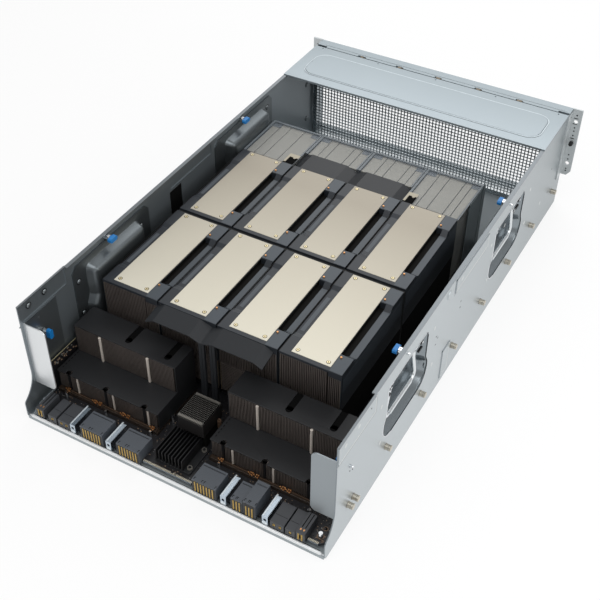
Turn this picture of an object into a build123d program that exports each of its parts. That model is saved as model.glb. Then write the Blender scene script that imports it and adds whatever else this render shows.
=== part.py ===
from build123d import *
from math import atan2, cos, pi, radians, sin, tan
import os

# Slide-in server tray, 4 rack units high. X runs across, Y from the connector edge to the exhaust
# screen, Z up. The origin is on the underside, in the middle of the tray.

# Sheet steel and shared clearances
sheet = 1.5
seat_gap = 0.25
pin_gap = 0.06
# small round work repeats often, so it is drawn with flat sides
small_sides = 8
corner_steps = 3

# Accelerator modules: two rows of four
module_columns = 4
module_rows = 2
module_width = 86.5
module_gap = 2.1
module_length = 172.0
row_gap = 5.5
module_top = 138.0
fin_base = 6.0
fin_pitch = 7.4
fin_thickness = 2.6
shroud_top = 4.0
strip_width = 14.0
ledge_width = 18.5
plate_width = module_width - strip_width - ledge_width
plate_margin = 6.5
plate_thickness = 1.5
end_block = 32.0
slot_width = 8.0
ledge_drop = 7.0
skirt_height = 64.0
card_thickness = 2.2
mezzanine_height = 6.0
mezzanine_size = (12.0, 60.0)
mezzanine_inset = 13.0
mezzanine_end = 41.0

# Baseboard
standoff_height = 6.5
board_thickness = 2.5
board_setback = 9.0
board_side_gap = 5.5
board_corner = 6.0

# Side handle recess and bail
recess_depth = 16.5
recess_draft = 6.0
recess_wide = 126.0
recess_narrow = 112.0
recess_bottom = 60.0
recess_waist = 46.0
recess_tall = 92.0
recess_flange = 20.0
recess_toe_radius = 24.0
recess_top_radius = 8.0
recess_waist_radius = 10.0
bail_rod = 3.3
bail_sides = 8
bail_inset = 7.5
bail_pivot_span = 68.0
bail_grip_span = 92.0
bail_drop = 56.0
bail_shoulder = 14.0
bail_bend = 9.0
bail_pin = 2.0
pin_end = 1.0
hub_radius = 4.4
hub_half = 3.8
pivot_below_top = 16.0
lug_thickness = 3.0

# Spring plungers
plunger_pin = 2.0
plunger_reach = 4.0
barrel_radius = 4.5
barrel_length = 9.0
grip_thickness = 6.0
grip_width = 14.0
grip_height = 6.5
grip_corner = 1.6

# Places along the tray, from its front edge
bracket_setback = 26.0
wall_setback = 22.0
handle_setback = 204.0
handle_spacing = 336.0
module_setback = 150.0
duct_length = 116.0
rear_bay = 148.5
exhaust_recess = 35.0

# Widths across the tray
left_bay_gap = recess_depth + 8.0
right_bay_gap = 60.2
headroom = 40.0
screen_emboss = 1.0

module_pitch = module_width + module_gap
module_rows_length = module_rows * module_length + (module_rows - 1) * row_gap
duct_setback = module_setback + module_rows_length + 1.0
screen_setback = duct_setback + duct_length + rear_bay
tray_length = screen_setback + exhaust_recess
module_block = (module_columns - 1) * module_pitch + module_width
tray_width = 2 * sheet + left_bay_gap + module_block + right_bay_gap
tray_height = module_top + headroom

front = -tray_length / 2
back = tray_length / 2
inner = tray_width / 2 - sheet
wall_top = tray_height - screen_emboss - sheet
board_bottom = sheet + standoff_height
board_top = board_bottom + board_thickness
board_half = inner - board_side_gap
board_front = front + board_setback
duct_front = front + duct_setback
duct_back = duct_front + duct_length
board_back = duct_back + 4.0
screen_y = front + screen_setback
module_front = front + module_setback
module_back = module_front + module_rows_length
module_left = -inner + left_bay_gap
card_bottom = board_top + mezzanine_height
fins_bottom = card_bottom + card_thickness

os.makedirs("parts", exist_ok=True)


def save(part, name):
    part.label = name
    export_step(part, f"parts/{name}.step")


def block(x, y, z, mode=Mode.ADD):
    # A box between pairs of low and high limits
    centre = ((x[0] + x[1]) / 2, (y[0] + y[1]) / 2, (z[0] + z[1]) / 2)
    with Locations(centre):
        Box(x[1] - x[0], y[1] - y[0], z[1] - z[0], mode=mode)


def across(y):
    # A vertical plane across the tray: its x is X and its y is Z, and it faces the front
    return Plane.XZ.offset(-y)


def mirrored(part):
    return mirror(part, about=Plane.YZ)


def rounded(corners, radii, close=True):
    # Corner points of an outline or route, with each corner rounded in a few flat steps
    count = len(corners)
    points = []
    for i, radius in enumerate(radii, 0 if close else 1):
        here = Vector(*corners[i])
        back = (Vector(*corners[i - 1]) - here).normalized()
        ahead = (Vector(*corners[(i + 1) % count]) - here).normalized()
        half = radians(back.get_angle(ahead)) / 2
        centre = here + (back + ahead).normalized() * (radius / sin(half))
        start = here + back * (radius / tan(half)) - centre
        end = here + ahead * (radius / tan(half)) - centre
        angle = atan2(start.Y, start.X)
        turn = (atan2(end.Y, end.X) - angle + pi) % (2 * pi) - pi
        steps = max(1, round(corner_steps * abs(turn) / (pi / 2)))
        for step in range(steps + 1):
            spot = angle + turn * step / steps
            points.append((centre.X + radius * cos(spot), centre.Y + radius * sin(spot)))
    return points if close else [corners[0], *points, corners[-1]]


# Floor pan
pan_flange = 7.0
pan_hem = 5.0
pan_sill = 12.0

with BuildPart() as base_pan:
    block((-inner, inner), (front, back), (0, sheet))
    for side in (-1, 1):
        edge = sorted((side * inner, side * (inner - sheet)))
        block(edge, (front + wall_setback, back), (sheet, pan_flange))
    block((-inner, inner), (front, front + sheet), (sheet, pan_hem))
    block((-inner, inner), (back - sheet, back), (sheet, pan_sill))
save(base_pan.part, "base_pan")

# Side walls, with a swept front foot, a joggled front corner and pressed beads
foot_rise = 28.0
foot_radius = 44.0
hem_width = 4.0
cover_reach = 98.0
notch = 90.0
corner_panel = 28.0
emboss = 1.2
bead_length = 108.0
bead_height = 20.0
bead_below_top = 6.0
dimple_radius = 7.0
dimple_drop = 8.0
dimple_slope = 45
rib_width = 22.0
rib_height = 48.0
rib_bottom = 12.0

handle_ys = [front + handle_setback, front + handle_setback + handle_spacing]
recess_top = recess_bottom + recess_tall
bead_start = handle_ys[0] + handle_spacing / 2 - bead_length / 2 + 24.0
dimple_y = bead_start - 22.0
rib_y = bead_start - 19.0
bead_top = wall_top - bead_below_top

# Plungers stand on the wall: two at the top edge and one low at the front
plunger_drop = barrel_radius + sheet + 0.6
plunger_spots = {
    "front": (front + 54.0, 113.0),
    "middle": (front + 194.0, wall_top - plunger_drop),
    "rear": (front + 528.0, wall_top - plunger_drop),
}

# Shoulder studs that ride in the rails of the enclosure
stud_radius = 4.0
stud_length = 8.0
stud_height = 43.0
stud_pitch = 101.6
stud_start = 154.0
stud_pair = (54.0, 67.3)
stud_count = int((tray_length - 30.0 - stud_start) / stud_pitch) + 1
stud_ys = [front + y for y in stud_pair] + [front + stud_start + i * stud_pitch for i in range(stud_count)]


def recess_face(x, y, grow):
    # Outline of a handle recess: a wide finger pocket under a narrower hinge pocket
    wide = recess_wide / 2 + grow
    narrow = recess_narrow / 2 + grow
    low = recess_bottom - grow
    high = recess_top + grow
    waist = recess_bottom + recess_waist
    flare = recess_wide - recess_narrow
    toe = recess_toe_radius + grow
    brow = recess_top_radius + grow
    side = recess_waist_radius
    with BuildSketch(Plane.YZ.offset(x)) as face:
        corners = [
            (y - wide, low),
            (y + wide, low),
            (y + wide, waist - flare),
            (y + narrow, waist),
            (y + narrow, high),
            (y - narrow, high),
            (y - narrow, waist),
            (y - wide, waist - flare),
        ]
        radii = [toe, toe, side, side, brow, brow, side, side]
        with BuildLine():
            Polyline(*rounded(corners, radii), close=True)
        make_face()
    return face.sketch


with BuildPart() as right_wall:
    with BuildSketch(Plane.YZ.offset(inner)):
        with BuildLine():
            Line((front, 0), (back, 0))
            Line((back, 0), (back, wall_top))
            Line((back, wall_top), (front + wall_setback, wall_top))
            Line((front + wall_setback, wall_top), (front + wall_setback, foot_rise + 36))
            RadiusArc((front + wall_setback, foot_rise + 36), (front, foot_rise), foot_radius)
            Line((front, foot_rise), (front, 0))
        make_face()
    extrude(amount=sheet)
    corners = right_wall.edges().filter_by(Axis.X).group_by(Axis.Y)[0]
    fillet(corners, radius=6)
    # hem along the top edge, up to the rear cover
    hem_y = (front + wall_setback + notch, screen_y - cover_reach)
    block((inner - hem_width, inner), hem_y, (wall_top - sheet, wall_top))
    # joggled front corner, long bead and lower rib, pressed outward
    pads = [
        ((front + wall_setback + 1, front + wall_setback + notch), (wall_top - corner_panel, wall_top)),
        ((bead_start, bead_start + bead_length), (bead_top - bead_height, bead_top)),
        ((rib_y, rib_y + rib_width), (rib_bottom, rib_bottom + rib_height)),
    ]
    for y, z in pads:
        block((inner, inner + sheet + emboss), y, z)
        hollow = [(low + sheet, high - sheet) for low, high in (y, z)]
        block((inner, inner + emboss), *hollow, Mode.SUBTRACT)
    # round spring dimple
    with BuildSketch(Plane.YZ.offset(inner + sheet)) as dimple:
        with Locations((dimple_y, bead_top - dimple_drop)):
            RegularPolygon(dimple_radius, small_sides)
    extrude(dimple.sketch, amount=emboss, taper=dimple_slope)
    for y in handle_ys:
        extrude(recess_face(inner, y, 0), amount=sheet, mode=Mode.SUBTRACT)
    with BuildSketch(Plane.YZ.offset(inner)) as pin_holes:
        with Locations(*plunger_spots.values()):
            RegularPolygon(plunger_pin + pin_gap, small_sides, major_radius=False)
    extrude(pin_holes.sketch, amount=sheet + emboss, mode=Mode.SUBTRACT)
save(right_wall.part, "right_wall")
save(mirrored(right_wall.part), "left_wall")

# Angle brackets behind the front corners
bracket_leg = 60.0
bracket_face = 33.0
bracket_bottom = 45.0
bracket_height = 102.0

with BuildPart() as corner_bracket:
    bracket_y = front + bracket_setback
    bracket_top = bracket_bottom + bracket_height
    block((inner - bracket_face, inner), (bracket_y, bracket_y + sheet), (bracket_bottom, bracket_top))
    block((inner - sheet, inner), (bracket_y, bracket_y + bracket_leg), (bracket_bottom, bracket_top))
    fillet(corner_bracket.edges().filter_by(Axis.Y).group_by(Axis.X)[0], radius=8)
    plunger_y, plunger_z = plunger_spots["front"]
    with BuildSketch(Plane.YZ.offset(inner - sheet)) as barrel_hole:
        with Locations((plunger_y, plunger_z)):
            RegularPolygon(barrel_radius + seat_gap, small_sides, major_radius=False)
    extrude(barrel_hole.sketch, amount=sheet, mode=Mode.SUBTRACT)
save(Compound(children=[corner_bracket.part, mirrored(corner_bracket.part)]), "corner_brackets")

# Handle recess plates, welded inside the walls, and the bails that swing in them
pivot_x = inner - bail_inset
pivot_z = recess_top - pivot_below_top
lug_inner = bail_pivot_span / 2 + hub_half + seat_gap


def recess_plate(y):
    flange_height = recess_tall + 1.2 * recess_flange
    with BuildPart() as plate:
        with BuildSketch(Plane.YZ.offset(inner - sheet)) as flange:
            with Locations((y, recess_bottom + recess_tall / 2)):
                Rectangle(recess_wide + 2 * recess_flange, flange_height)
            chamfer(flange.vertices(), length=recess_top_radius)
        extrude(amount=sheet)
        floor_face = recess_face(inner - recess_depth, y, sheet - recess_draft)
        loft([recess_face(inner - sheet, y, sheet), floor_face], ruled=True)
        loft(
            [recess_face(inner, y, 0), recess_face(inner - recess_depth + sheet, y, -recess_draft)],
            ruled=True,
            mode=Mode.SUBTRACT,
        )
        for side in (-1, 1):
            span = sorted((y + side * lug_inner, y + side * (lug_inner + lug_thickness)))
            block((inner - recess_depth + sheet, pivot_x + 5), span, (pivot_z - 6, pivot_z + 6))
        lug_outer = lug_inner + lug_thickness
        with BuildSketch(across(y + lug_outer)) as pin_hole:
            with Locations((pivot_x, pivot_z)):
                RegularPolygon(bail_pin + pin_gap, small_sides, major_radius=False)
        extrude(pin_hole.sketch, amount=2 * lug_outer, mode=Mode.SUBTRACT)
        # clearance for the plunger that stands beside the recess
        with BuildSketch(Plane.YZ.offset(inner - sheet)) as clearance:
            with Locations(*plunger_spots.values()):
                RegularPolygon(barrel_radius + sheet, small_sides, major_radius=False)
        extrude(clearance.sketch, amount=sheet, mode=Mode.SUBTRACT)
    return plate.part


def bail(y):
    grip_z = pivot_z - bail_drop
    high = bail_pivot_span / 2
    wide = bail_grip_span / 2
    with BuildPart() as handle:
        corners = [
            (y - high, pivot_z),
            (y - high, pivot_z - bail_shoulder),
            (y - wide, grip_z),
            (y + wide, grip_z),
            (y + high, pivot_z - bail_shoulder),
            (y + high, pivot_z),
        ]
        radii = [bail_shoulder, bail_bend, bail_bend, bail_shoulder]
        with BuildLine(Plane.YZ.offset(pivot_x)) as route:
            Polyline(*rounded(corners, radii, close=False))
        with BuildSketch(Plane(origin=route.line @ 0, z_dir=route.line % 0)):
            RegularPolygon(bail_rod, bail_sides)
        sweep(transition=Transition.RIGHT)
        for side in (-1, 1):
            with BuildSketch(across(y + side * high + hub_half)) as hub:
                with Locations((pivot_x, pivot_z)):
                    RegularPolygon(hub_radius, bail_sides)
            extrude(hub.sketch, amount=2 * hub_half)
            # hinge pin, from the hub out through its lug
            ends = sorted((y + side * high, y + side * (lug_inner + lug_thickness + pin_end)))
            with BuildSketch(across(ends[1])) as pin:
                with Locations((pivot_x, pivot_z)):
                    RegularPolygon(bail_pin, small_sides)
            extrude(pin.sketch, amount=ends[1] - ends[0])
    return handle.part


for place, handle_y in zip(("front", "rear"), handle_ys):
    plate_part = recess_plate(handle_y)
    bail_part = bail(handle_y)
    save(plate_part, f"right_{place}_recess")
    save(mirrored(plate_part), f"left_{place}_recess")
    save(bail_part, f"right_{place}_handle")
    save(mirrored(bail_part), f"left_{place}_handle")

# Spring plungers
barrels = []
for place, (plunger_y, plunger_z) in plunger_spots.items():
    with BuildPart() as barrel:
        with BuildSketch(Plane.YZ.offset(inner - barrel_length)) as ring:
            with Locations((plunger_y, plunger_z)):
                RegularPolygon(barrel_radius, small_sides)
                bore = plunger_pin + pin_gap
                RegularPolygon(bore, small_sides, major_radius=False, mode=Mode.SUBTRACT)
        extrude(amount=barrel_length)
    barrels += [barrel.part, mirrored(barrel.part)]
    grip_x = inner - barrel_length - seat_gap - grip_thickness
    upright = place == "front"
    with BuildPart() as plunger:
        tip_x = inner + sheet + plunger_reach
        with BuildSketch(Plane.YZ.offset(grip_x + grip_thickness / 2)):
            with Locations((plunger_y, plunger_z)):
                RegularPolygon(plunger_pin, small_sides)
        extrude(amount=tip_x - grip_x - grip_thickness / 2)
        with BuildSketch(Plane.YZ.offset(grip_x)) as grip:
            with Locations((plunger_y, plunger_z)):
                if upright:
                    Rectangle(grip_height, grip_width)
                else:
                    Rectangle(grip_width, grip_height)
            chamfer(grip.vertices(), length=grip_corner)
        extrude(amount=grip_thickness)
    save(plunger.part, f"right_{place}_plunger")
    save(mirrored(plunger.part), f"left_{place}_plunger")
save(Compound(children=barrels), "plunger_barrels")

# Shoulder studs along both walls
studs = []
mount_ys = (stud_ys[len(stud_pair)], stud_ys[-1])
for stud_y in stud_ys:
    with BuildPart() as stud:
        with BuildSketch(Plane.YZ.offset(inner + sheet)):
            with Locations((stud_y, stud_height)):
                # round where the mounts are, with fewer faces between them
                if stud_y in mount_ys:
                    Circle(stud_radius)
                else:
                    RegularPolygon(stud_radius, small_sides)
        extrude(amount=stud_length)
    studs += [stud.part, mirrored(stud.part)]
save(Compound(children=studs), "slide_studs")

# Rear cover with a racetrack emboss
cover_overlap = 11.0
cover_lip = 2.0
cover_hole = 1.4
cover_holes = 5
cover_hole_inset = 15.0
cover_hole_edge = 4.0
emboss_inset = 20.0
emboss_radius = 20.0
emboss_length = 68.0
cover_bottom = wall_top
cover_top = cover_bottom + sheet

with BuildPart() as rear_cover:
    cover_front = screen_y - cover_reach
    cover_back = screen_y + cover_overlap
    half = inner + sheet
    block((-half, half), (cover_front, cover_back), (cover_bottom, cover_top))
    lip = inner - hem_width
    block((-lip, lip), (cover_front, cover_front + sheet), (cover_bottom - cover_lip, cover_bottom))
    with BuildSketch(Plane.XY.offset(cover_top)):
        with Locations((0, (cover_front + cover_back) / 2)):
            RectangleRounded(2 * half - 2 * emboss_inset, emboss_length, emboss_radius)
    extrude(amount=screen_emboss, taper=45)
    hole_span = (tray_width - 2 * cover_hole_inset) / (cover_holes - 1)
    with BuildSketch(Plane.XY.offset(cover_top)) as holes:
        with Locations((0, cover_back - cover_hole_edge)):
            with GridLocations(hole_span, 1, cover_holes, 1):
                RegularPolygon(cover_hole, small_sides)
    extrude(holes.sketch, amount=-2 * sheet, mode=Mode.SUBTRACT)
save(rear_cover.part, "rear_cover")

# Perforated exhaust screen: a frame with a grid of square holes
screen_border = 13.0
screen_foot = 25.0
hole_pitch_x = 42.0
hole_pitch_z = 38.0
hole_web = 3.0

with BuildPart() as exhaust_screen:
    half = inner - seat_gap
    with BuildSketch(across(screen_y + sheet)) as sheet_face:
        with Locations((0, (sheet + wall_top) / 2)):
            Rectangle(2 * half, wall_top - sheet)
        # corners cut away round the floor flanges
        with Locations((-half, sheet), (half, sheet)):
            Rectangle(4 * sheet, 2 * pan_flange, mode=Mode.SUBTRACT)
        field_height = wall_top - screen_foot - screen_border + 6
        columns = int((2 * half - 2 * screen_border) / hole_pitch_x)
        rows = int(field_height / hole_pitch_z)
        with Locations((0, screen_foot + field_height / 2)):
            with GridLocations(hole_pitch_x, hole_pitch_z, columns, rows):
                Rectangle(hole_pitch_x - hole_web, hole_pitch_z - hole_web, mode=Mode.SUBTRACT)
    extrude(amount=sheet)
    # stiffening foot on the floor
    block((-half + 3 * sheet, half - 3 * sheet), (screen_y - 9, screen_y), (sheet, 2 * sheet))
save(exhaust_screen.part, "exhaust_screen")

# Rear top strip with a finger row along the seam
strip_depth = 18.0
strip_drop = 16.0

with BuildPart() as rear_top_strip:
    half = inner + sheet
    block((-half, half), (back - strip_depth, back), (wall_top, wall_top + sheet))
    block((-inner, inner), (back - sheet, back), (wall_top - strip_drop, wall_top))
    with BuildSketch(Plane.XY.offset(wall_top)):
        with Locations((0, back - strip_depth - 2)):
            with GridLocations(69, 1, 6, 1):
                Rectangle(59, 4)
    extrude(amount=sheet)
save(rear_top_strip.part, "rear_top_strip")

# Rack ears on the rear edge of the walls
ear_width = 16.0
ear_bottom = 58.0
ear_hole_radius = 3.3
ear_hole_spacing = 76.2
ear_return = 24.0
ear_hole_z = ear_bottom + 22.0

with BuildPart() as rack_ear:
    outer = inner + sheet
    with BuildSketch(across(back)) as ear_face:
        with BuildLine():
            Polyline(
                (outer, ear_bottom),
                (outer + ear_width - 6, ear_bottom),
                (outer + ear_width, ear_bottom + 8),
                (outer + ear_width, tray_height),
                (outer, tray_height),
                close=True,
            )
        make_face()
        with Locations((outer + ear_width / 2, ear_hole_z + ear_hole_spacing / 2)):
            with GridLocations(1, ear_hole_spacing, 1, 2):
                Circle(ear_hole_radius, mode=Mode.SUBTRACT)
    extrude(amount=2 * sheet)
    block((outer, outer + sheet), (back - ear_return, back - 2 * sheet), (ear_bottom, wall_top - 2))
save(Compound(children=[rack_ear.part, mirrored(rack_ear.part)]), "rack_ears")

# Baseboard on its standoffs
with BuildPart() as baseboard:
    with BuildSketch(Plane.XY.offset(board_bottom)):
        with Locations((0, (board_front + board_back) / 2)):
            Rectangle(2 * board_half, board_back - board_front)
        chamfer(vertices(), length=board_corner)
    extrude(amount=board_thickness)
save(baseboard.part, "baseboard")

standoff_radius = 3.5
with BuildPart() as board_standoffs:
    with BuildSketch(Plane.XY.offset(sheet)):
        with Locations((0, (board_front + board_back) / 2)):
            with GridLocations(2 * (board_half - 10), (board_back - board_front - 26) / 3, 2, 4):
                RegularPolygon(standoff_radius, 6)
            with GridLocations(1, (board_back - board_front - 26) / 3, 1, 4):
                RegularPolygon(standoff_radius, 6)
    extrude(amount=standoff_height)
save(board_standoffs.part, "board_standoffs")

# Front connector row: each kind has a width, length and height above the board
connector_setback = 4.0
connector_sizes = {
    "signal": (12.0, 32.0, 12.5),
    "power": (13.0, 32.0, 9.5),
    "power_wide": (18.5, 32.0, 9.5),
    "guide": (8.0, 34.0, 12.0),
    "high_speed": (34.5, 29.0, 18.0),
    "high_speed_half": (16.0, 29.0, 18.0),
    "high_speed_tall": (17.0, 36.0, 22.5),
}
wafer_pitch = 4.2
wafer_slot = 1.4
guide_bore = 2.0
guide_bore_depth = 24.0

# Each row is walked from its outer end: kind, then the gap after it
left_row = [
    ("signal", 7.0),
    ("power", 3.0),
    ("power_wide", 1.5),
    ("guide", 9.0),
    ("high_speed", 5.0),
    ("guide", 9.0),
    ("high_speed", 0.0),
]
right_row = [
    ("high_speed", 6.0),
    ("guide", 7.0),
    ("high_speed_half", 1.0),
    ("high_speed_tall", 9.0),
    ("guide", 3.0),
    ("power_wide", 2.0),
    ("power", 1.0),
    ("signal", 0.0),
]
left_row_start = -board_half + 7.0
right_row_start = 35.0


def connector(kind, x):
    width, length, height = connector_sizes[kind]
    y = front + connector_setback
    seat = board_top
    with BuildPart() as body:
        block((x, x + width), (board_front, y + length), (seat, seat + height))
        # nose that overhangs the board edge
        block((x, x + width), (y, board_front), (board_bottom, seat + height))
        if kind.startswith("high_speed"):
            slots = int((width - 2) / wafer_pitch)
            with Locations((x + width / 2, y, (board_bottom + seat + height) / 2)):
                with GridLocations(wafer_pitch, 1, slots, 1):
                    Box(wafer_slot, 6, height - 1, mode=Mode.SUBTRACT)
        elif kind == "guide":
            bore = Location((x + width / 2, y + guide_bore_depth / 2, seat + height / 2), (90, 0, 0))
            with Locations(bore):
                Cylinder(guide_bore, guide_bore_depth, mode=Mode.SUBTRACT)
        else:
            ports = 2 if kind == "power_wide" else 1
            with Locations((x + width / 2, y, seat + height / 2 - 1)):
                with GridLocations(width / 2 - 1, 1, ports, 1):
                    Box(3.5, 8, height * 0.6, mode=Mode.SUBTRACT)
    return body.part


groups = {"signal": [], "power": [], "guide": [], "high": []}
for row, x in ((left_row, left_row_start), (right_row, right_row_start)):
    for kind, gap in row:
        groups[kind.split("_")[0]].append(connector(kind, x))
        x += connector_sizes[kind][0] + gap
save(Compound(children=groups["signal"]), "signal_connectors")
save(Compound(children=groups["power"]), "power_connectors")
save(Compound(children=groups["guide"]), "guide_blocks")
save(Compound(children=groups["high"]), "high_speed_connectors")


def comb(x, z, pitch, thickness, base):
    # A fin block's section: a base with upright fins, the last one flush with the right edge
    count = int((x[1] - x[0] - thickness) / pitch) + 1
    spread = (x[1] - x[0] - thickness) / (count - 1)
    with Locations(((x[0] + x[1]) / 2, z[0] + base / 2)):
        Rectangle(x[1] - x[0], base)
    with Locations(((x[0] + x[1]) / 2, (z[0] + z[1]) / 2)):
        with GridLocations(spread, 1, count, 1):
            Rectangle(thickness, z[1] - z[0])


# Heatsinks in the middle of the front area
extruded_x = (-30.0, 22.0)
extruded_setback = 18.0
extruded_length = 46.0
extruded_height = 20.5
fine_x = (-20.0, 17.0)
fine_setback = 59.0
fine_length = 43.0
fine_height = 49.5
fine_depth = 24.0
fine_post = (-18.0, 15.0)
fine_post_length = 34.0

with BuildPart() as controller_heatsink:
    y = front + extruded_setback
    with BuildSketch(across(y + extruded_length)):
        comb((extruded_x[0] + 2, extruded_x[1] - 10), (board_top, board_top + extruded_height), 4.8, 1.5, 3)
    extrude(amount=extruded_length)
    block(extruded_x, (y, y + extruded_length), (board_top, board_top + 2.5))
save(controller_heatsink.part, "controller_heatsink")

with BuildPart() as fine_fin_heatsink:
    # the fin block overhangs its post at both ends
    y = front + fine_setback
    fine_top = board_top + fine_height
    with BuildSketch(across(y + fine_length)):
        comb(fine_x, (fine_top - fine_depth, fine_top), 4, 1.4, 4)
    extrude(amount=fine_length)
    post_y = front + extruded_setback + extruded_length + 2
    block(fine_post, (post_y, post_y + fine_post_length), (board_top, fine_top - fine_depth))
save(fine_fin_heatsink.part, "fine_fin_heatsink")

# Stepped switch heatsinks, left and right, with black cover plates
switch_width = 160.0
switch_left = -inner + 9.5
switch_right = inner - 29.5
switch_spans = {
    "left": (switch_left, switch_left + switch_width),
    "right": (switch_right - switch_width, switch_right),
}
switch_setback = 55.0
switch_low_length = 44.0
switch_tall_length = 42.0
switch_low_top = 46.0
switch_tall_top = 90.0
switch_carrier = 5.0
switch_cover = 1.5
switch_pitch = 12.0
switch_fin = 4.0
switch_base = 4.0
switch_notches = (0.11, 0.48, 0.86)
switch_slots = (0.5, 0.88)

carriers = []
for side, (x0, x1) in switch_spans.items():
    y0 = front + switch_setback
    y1 = y0 + switch_low_length
    y2 = y1 + switch_tall_length
    low = (board_top + switch_carrier, switch_low_top - switch_cover)
    tall = (board_top + switch_carrier, switch_tall_top - switch_cover)
    with BuildPart() as carrier:
        block((x0, x1), (y0 - 4, y2), (board_top, board_top + switch_carrier))
    carriers.append(carrier.part)
    with BuildPart() as fins:
        with BuildSketch(across(y1 - seat_gap)):
            comb((x0 + sheet, x1 - sheet), low, switch_pitch, switch_fin, switch_base)
        extrude(amount=switch_low_length - 2 * sheet)
        with BuildSketch(across(y2)):
            comb((x0 + sheet, x1 - sheet), tall, switch_pitch, switch_fin, switch_base)
        extrude(amount=switch_tall_length)
    save(fins.part, f"{side}_switch_fins")
    with BuildPart() as cover:
        with BuildSketch(Plane.XY.offset(low[1])):
            with Locations(((x0 + x1) / 2, (y0 + y1) / 2)):
                Rectangle(x1 - x0, switch_low_length)
            for share in switch_notches:
                with Locations((x0 + share * (x1 - x0), y0)):
                    SlotCenterToCenter(8, 8, rotation=90, mode=Mode.SUBTRACT)
        extrude(amount=switch_cover)
        with BuildSketch(Plane.XY.offset(tall[1])):
            with Locations(((x0 + x1) / 2, (y1 + y2) / 2)):
                Rectangle(x1 - x0, switch_tall_length)
            for share in switch_slots:
                with Locations((x0 + share * (x1 - x0), y2)):
                    SlotCenterToCenter(60, 9, rotation=90, mode=Mode.SUBTRACT)
        extrude(amount=switch_cover)
        # side cheeks hold the two plates together
        for cheek in ((x0, x0 + 1.2), (x1 - 1.2, x1)):
            block(cheek, (y0 + 2, y2), (board_top + switch_carrier, low[1]))
            block(cheek, (y1, y2), (low[1], tall[1]))
    save(cover.part, f"{side}_switch_cover")
save(Compound(children=carriers), "switch_carriers")

# Accelerator modules
cards = []
plates = []


def module_heatsink(x, y):
    with BuildPart() as sink:
        high = (fins_bottom, module_top - shroud_top)
        low = (fins_bottom, module_top - ledge_drop - 3)
        split = strip_width + plate_width
        with BuildSketch(across(y + module_length)):
            comb((x + 2, x + split), high, fin_pitch, fin_thickness, fin_base)
            comb((x + split, x + module_width - 2), low, fin_pitch, fin_thickness, fin_base)
        extrude(amount=module_length)
    return sink.part


def module_shroud(x, y):
    plate_end = strip_width + plate_width
    roof = module_top - shroud_top
    ledge = (module_top - ledge_drop - 3, module_top - ledge_drop)
    middle = (y + end_block, y + module_length - end_block)
    with BuildPart() as shroud:
        block((x, x + plate_end), (y, y + module_length), (roof, module_top))
        block((x + plate_end, x + module_width), (y, y + module_length), (ledge[0], module_top))
        # recessed strip on the left, slot and low ledge on the right
        block((x, x + strip_width), middle, (module_top - 2, module_top), Mode.SUBTRACT)
        block((x + plate_end, x + plate_end + slot_width), middle, (ledge[0], module_top), Mode.SUBTRACT)
        block((x + plate_end + slot_width, x + module_width), middle, (ledge[1], module_top), Mode.SUBTRACT)
        seat = (y + plate_margin, y + module_length - 1)
        plate_z = (module_top - plate_thickness, module_top)
        block((x + strip_width, x + plate_end), seat, plate_z, Mode.SUBTRACT)
        # side skirts over the outer fins
        skirt = module_top - skirt_height
        right = x + module_width
        block((x, x + sheet), (y, y + module_length), (skirt, roof))
        block((right - sheet, right), (y, y + module_length), (skirt, ledge[0]))
    return shroud.part


number = 0
for row in range(module_rows):
    for column in range(module_columns):
        number += 1
        x = module_left + column * module_pitch
        y = module_front + row * (module_length + row_gap)
        save(module_heatsink(x, y), f"module_{number}_heatsink")
        save(module_shroud(x, y), f"module_{number}_shroud")
        with BuildPart() as plate:
            plate_y = (y + plate_margin, y + module_length - 1)
            plate_x = (x + strip_width, x + strip_width + plate_width)
            block(plate_x, plate_y, (module_top - plate_thickness, module_top))
        plates.append(plate.part)
        with BuildPart() as card:
            block((x + 1, x + module_width - 1), (y + 1, y + module_length - 1), (card_bottom, fins_bottom))
            with Locations((x + module_width / 2, y + module_length / 2, (board_top + card_bottom) / 2)):
                spread_x = module_width - 2 * mezzanine_inset
                spread_y = module_length - 2 * mezzanine_end
                with GridLocations(spread_x, spread_y, 2, 2):
                    Box(*mezzanine_size, mezzanine_height)
        cards.append(card.part)
save(Compound(children=plates), "module_plates")
save(Compound(children=cards), "module_cards")

# Black seal bar in the gap between the rows
with BuildPart() as row_seal:
    seal_y = module_front + module_length
    right = module_left + module_block
    seal = (seal_y + seat_gap, seal_y + row_gap - seat_gap)
    block((module_left, right), seal, (fins_bottom, module_top - 3))
save(row_seal.part, "row_seal")

# Front air hood and rear baffle: a thin folded roof over two bays
hood_setback = 122.0
hood_top = 130.0
hood_fold = 6.0
hood_sheet = 2.0
hood_slope = 12.5
valley_slope = 17.0
baffle_length = 47.0
baffle_top = 131.0
duct_pitch = module_pitch + 1.4
duct_left = module_left - 9.5
bay_left = duct_left + duct_pitch + 1.0
bay_right = duct_left + (module_columns - 1) * duct_pitch - 1.5
valley = (bay_left + bay_right) / 2


def folded_roof(y, length, top, left, right):
    # Two shallow roof bays that share a valley, thick enough to show an edge
    line = [
        (left, top - hood_fold),
        (left + hood_slope, top),
        (valley - valley_slope, top),
        (valley, top - hood_fold),
        (valley + valley_slope, top),
        (right - hood_slope, top),
        (right, top - hood_fold),
    ]
    with BuildSketch(across(y + length)) as section:
        with BuildLine():
            Polyline(*line, *[(x, z - hood_sheet) for x, z in reversed(line)], close=True)
        make_face()
    extrude(section.sketch, amount=length)


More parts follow.
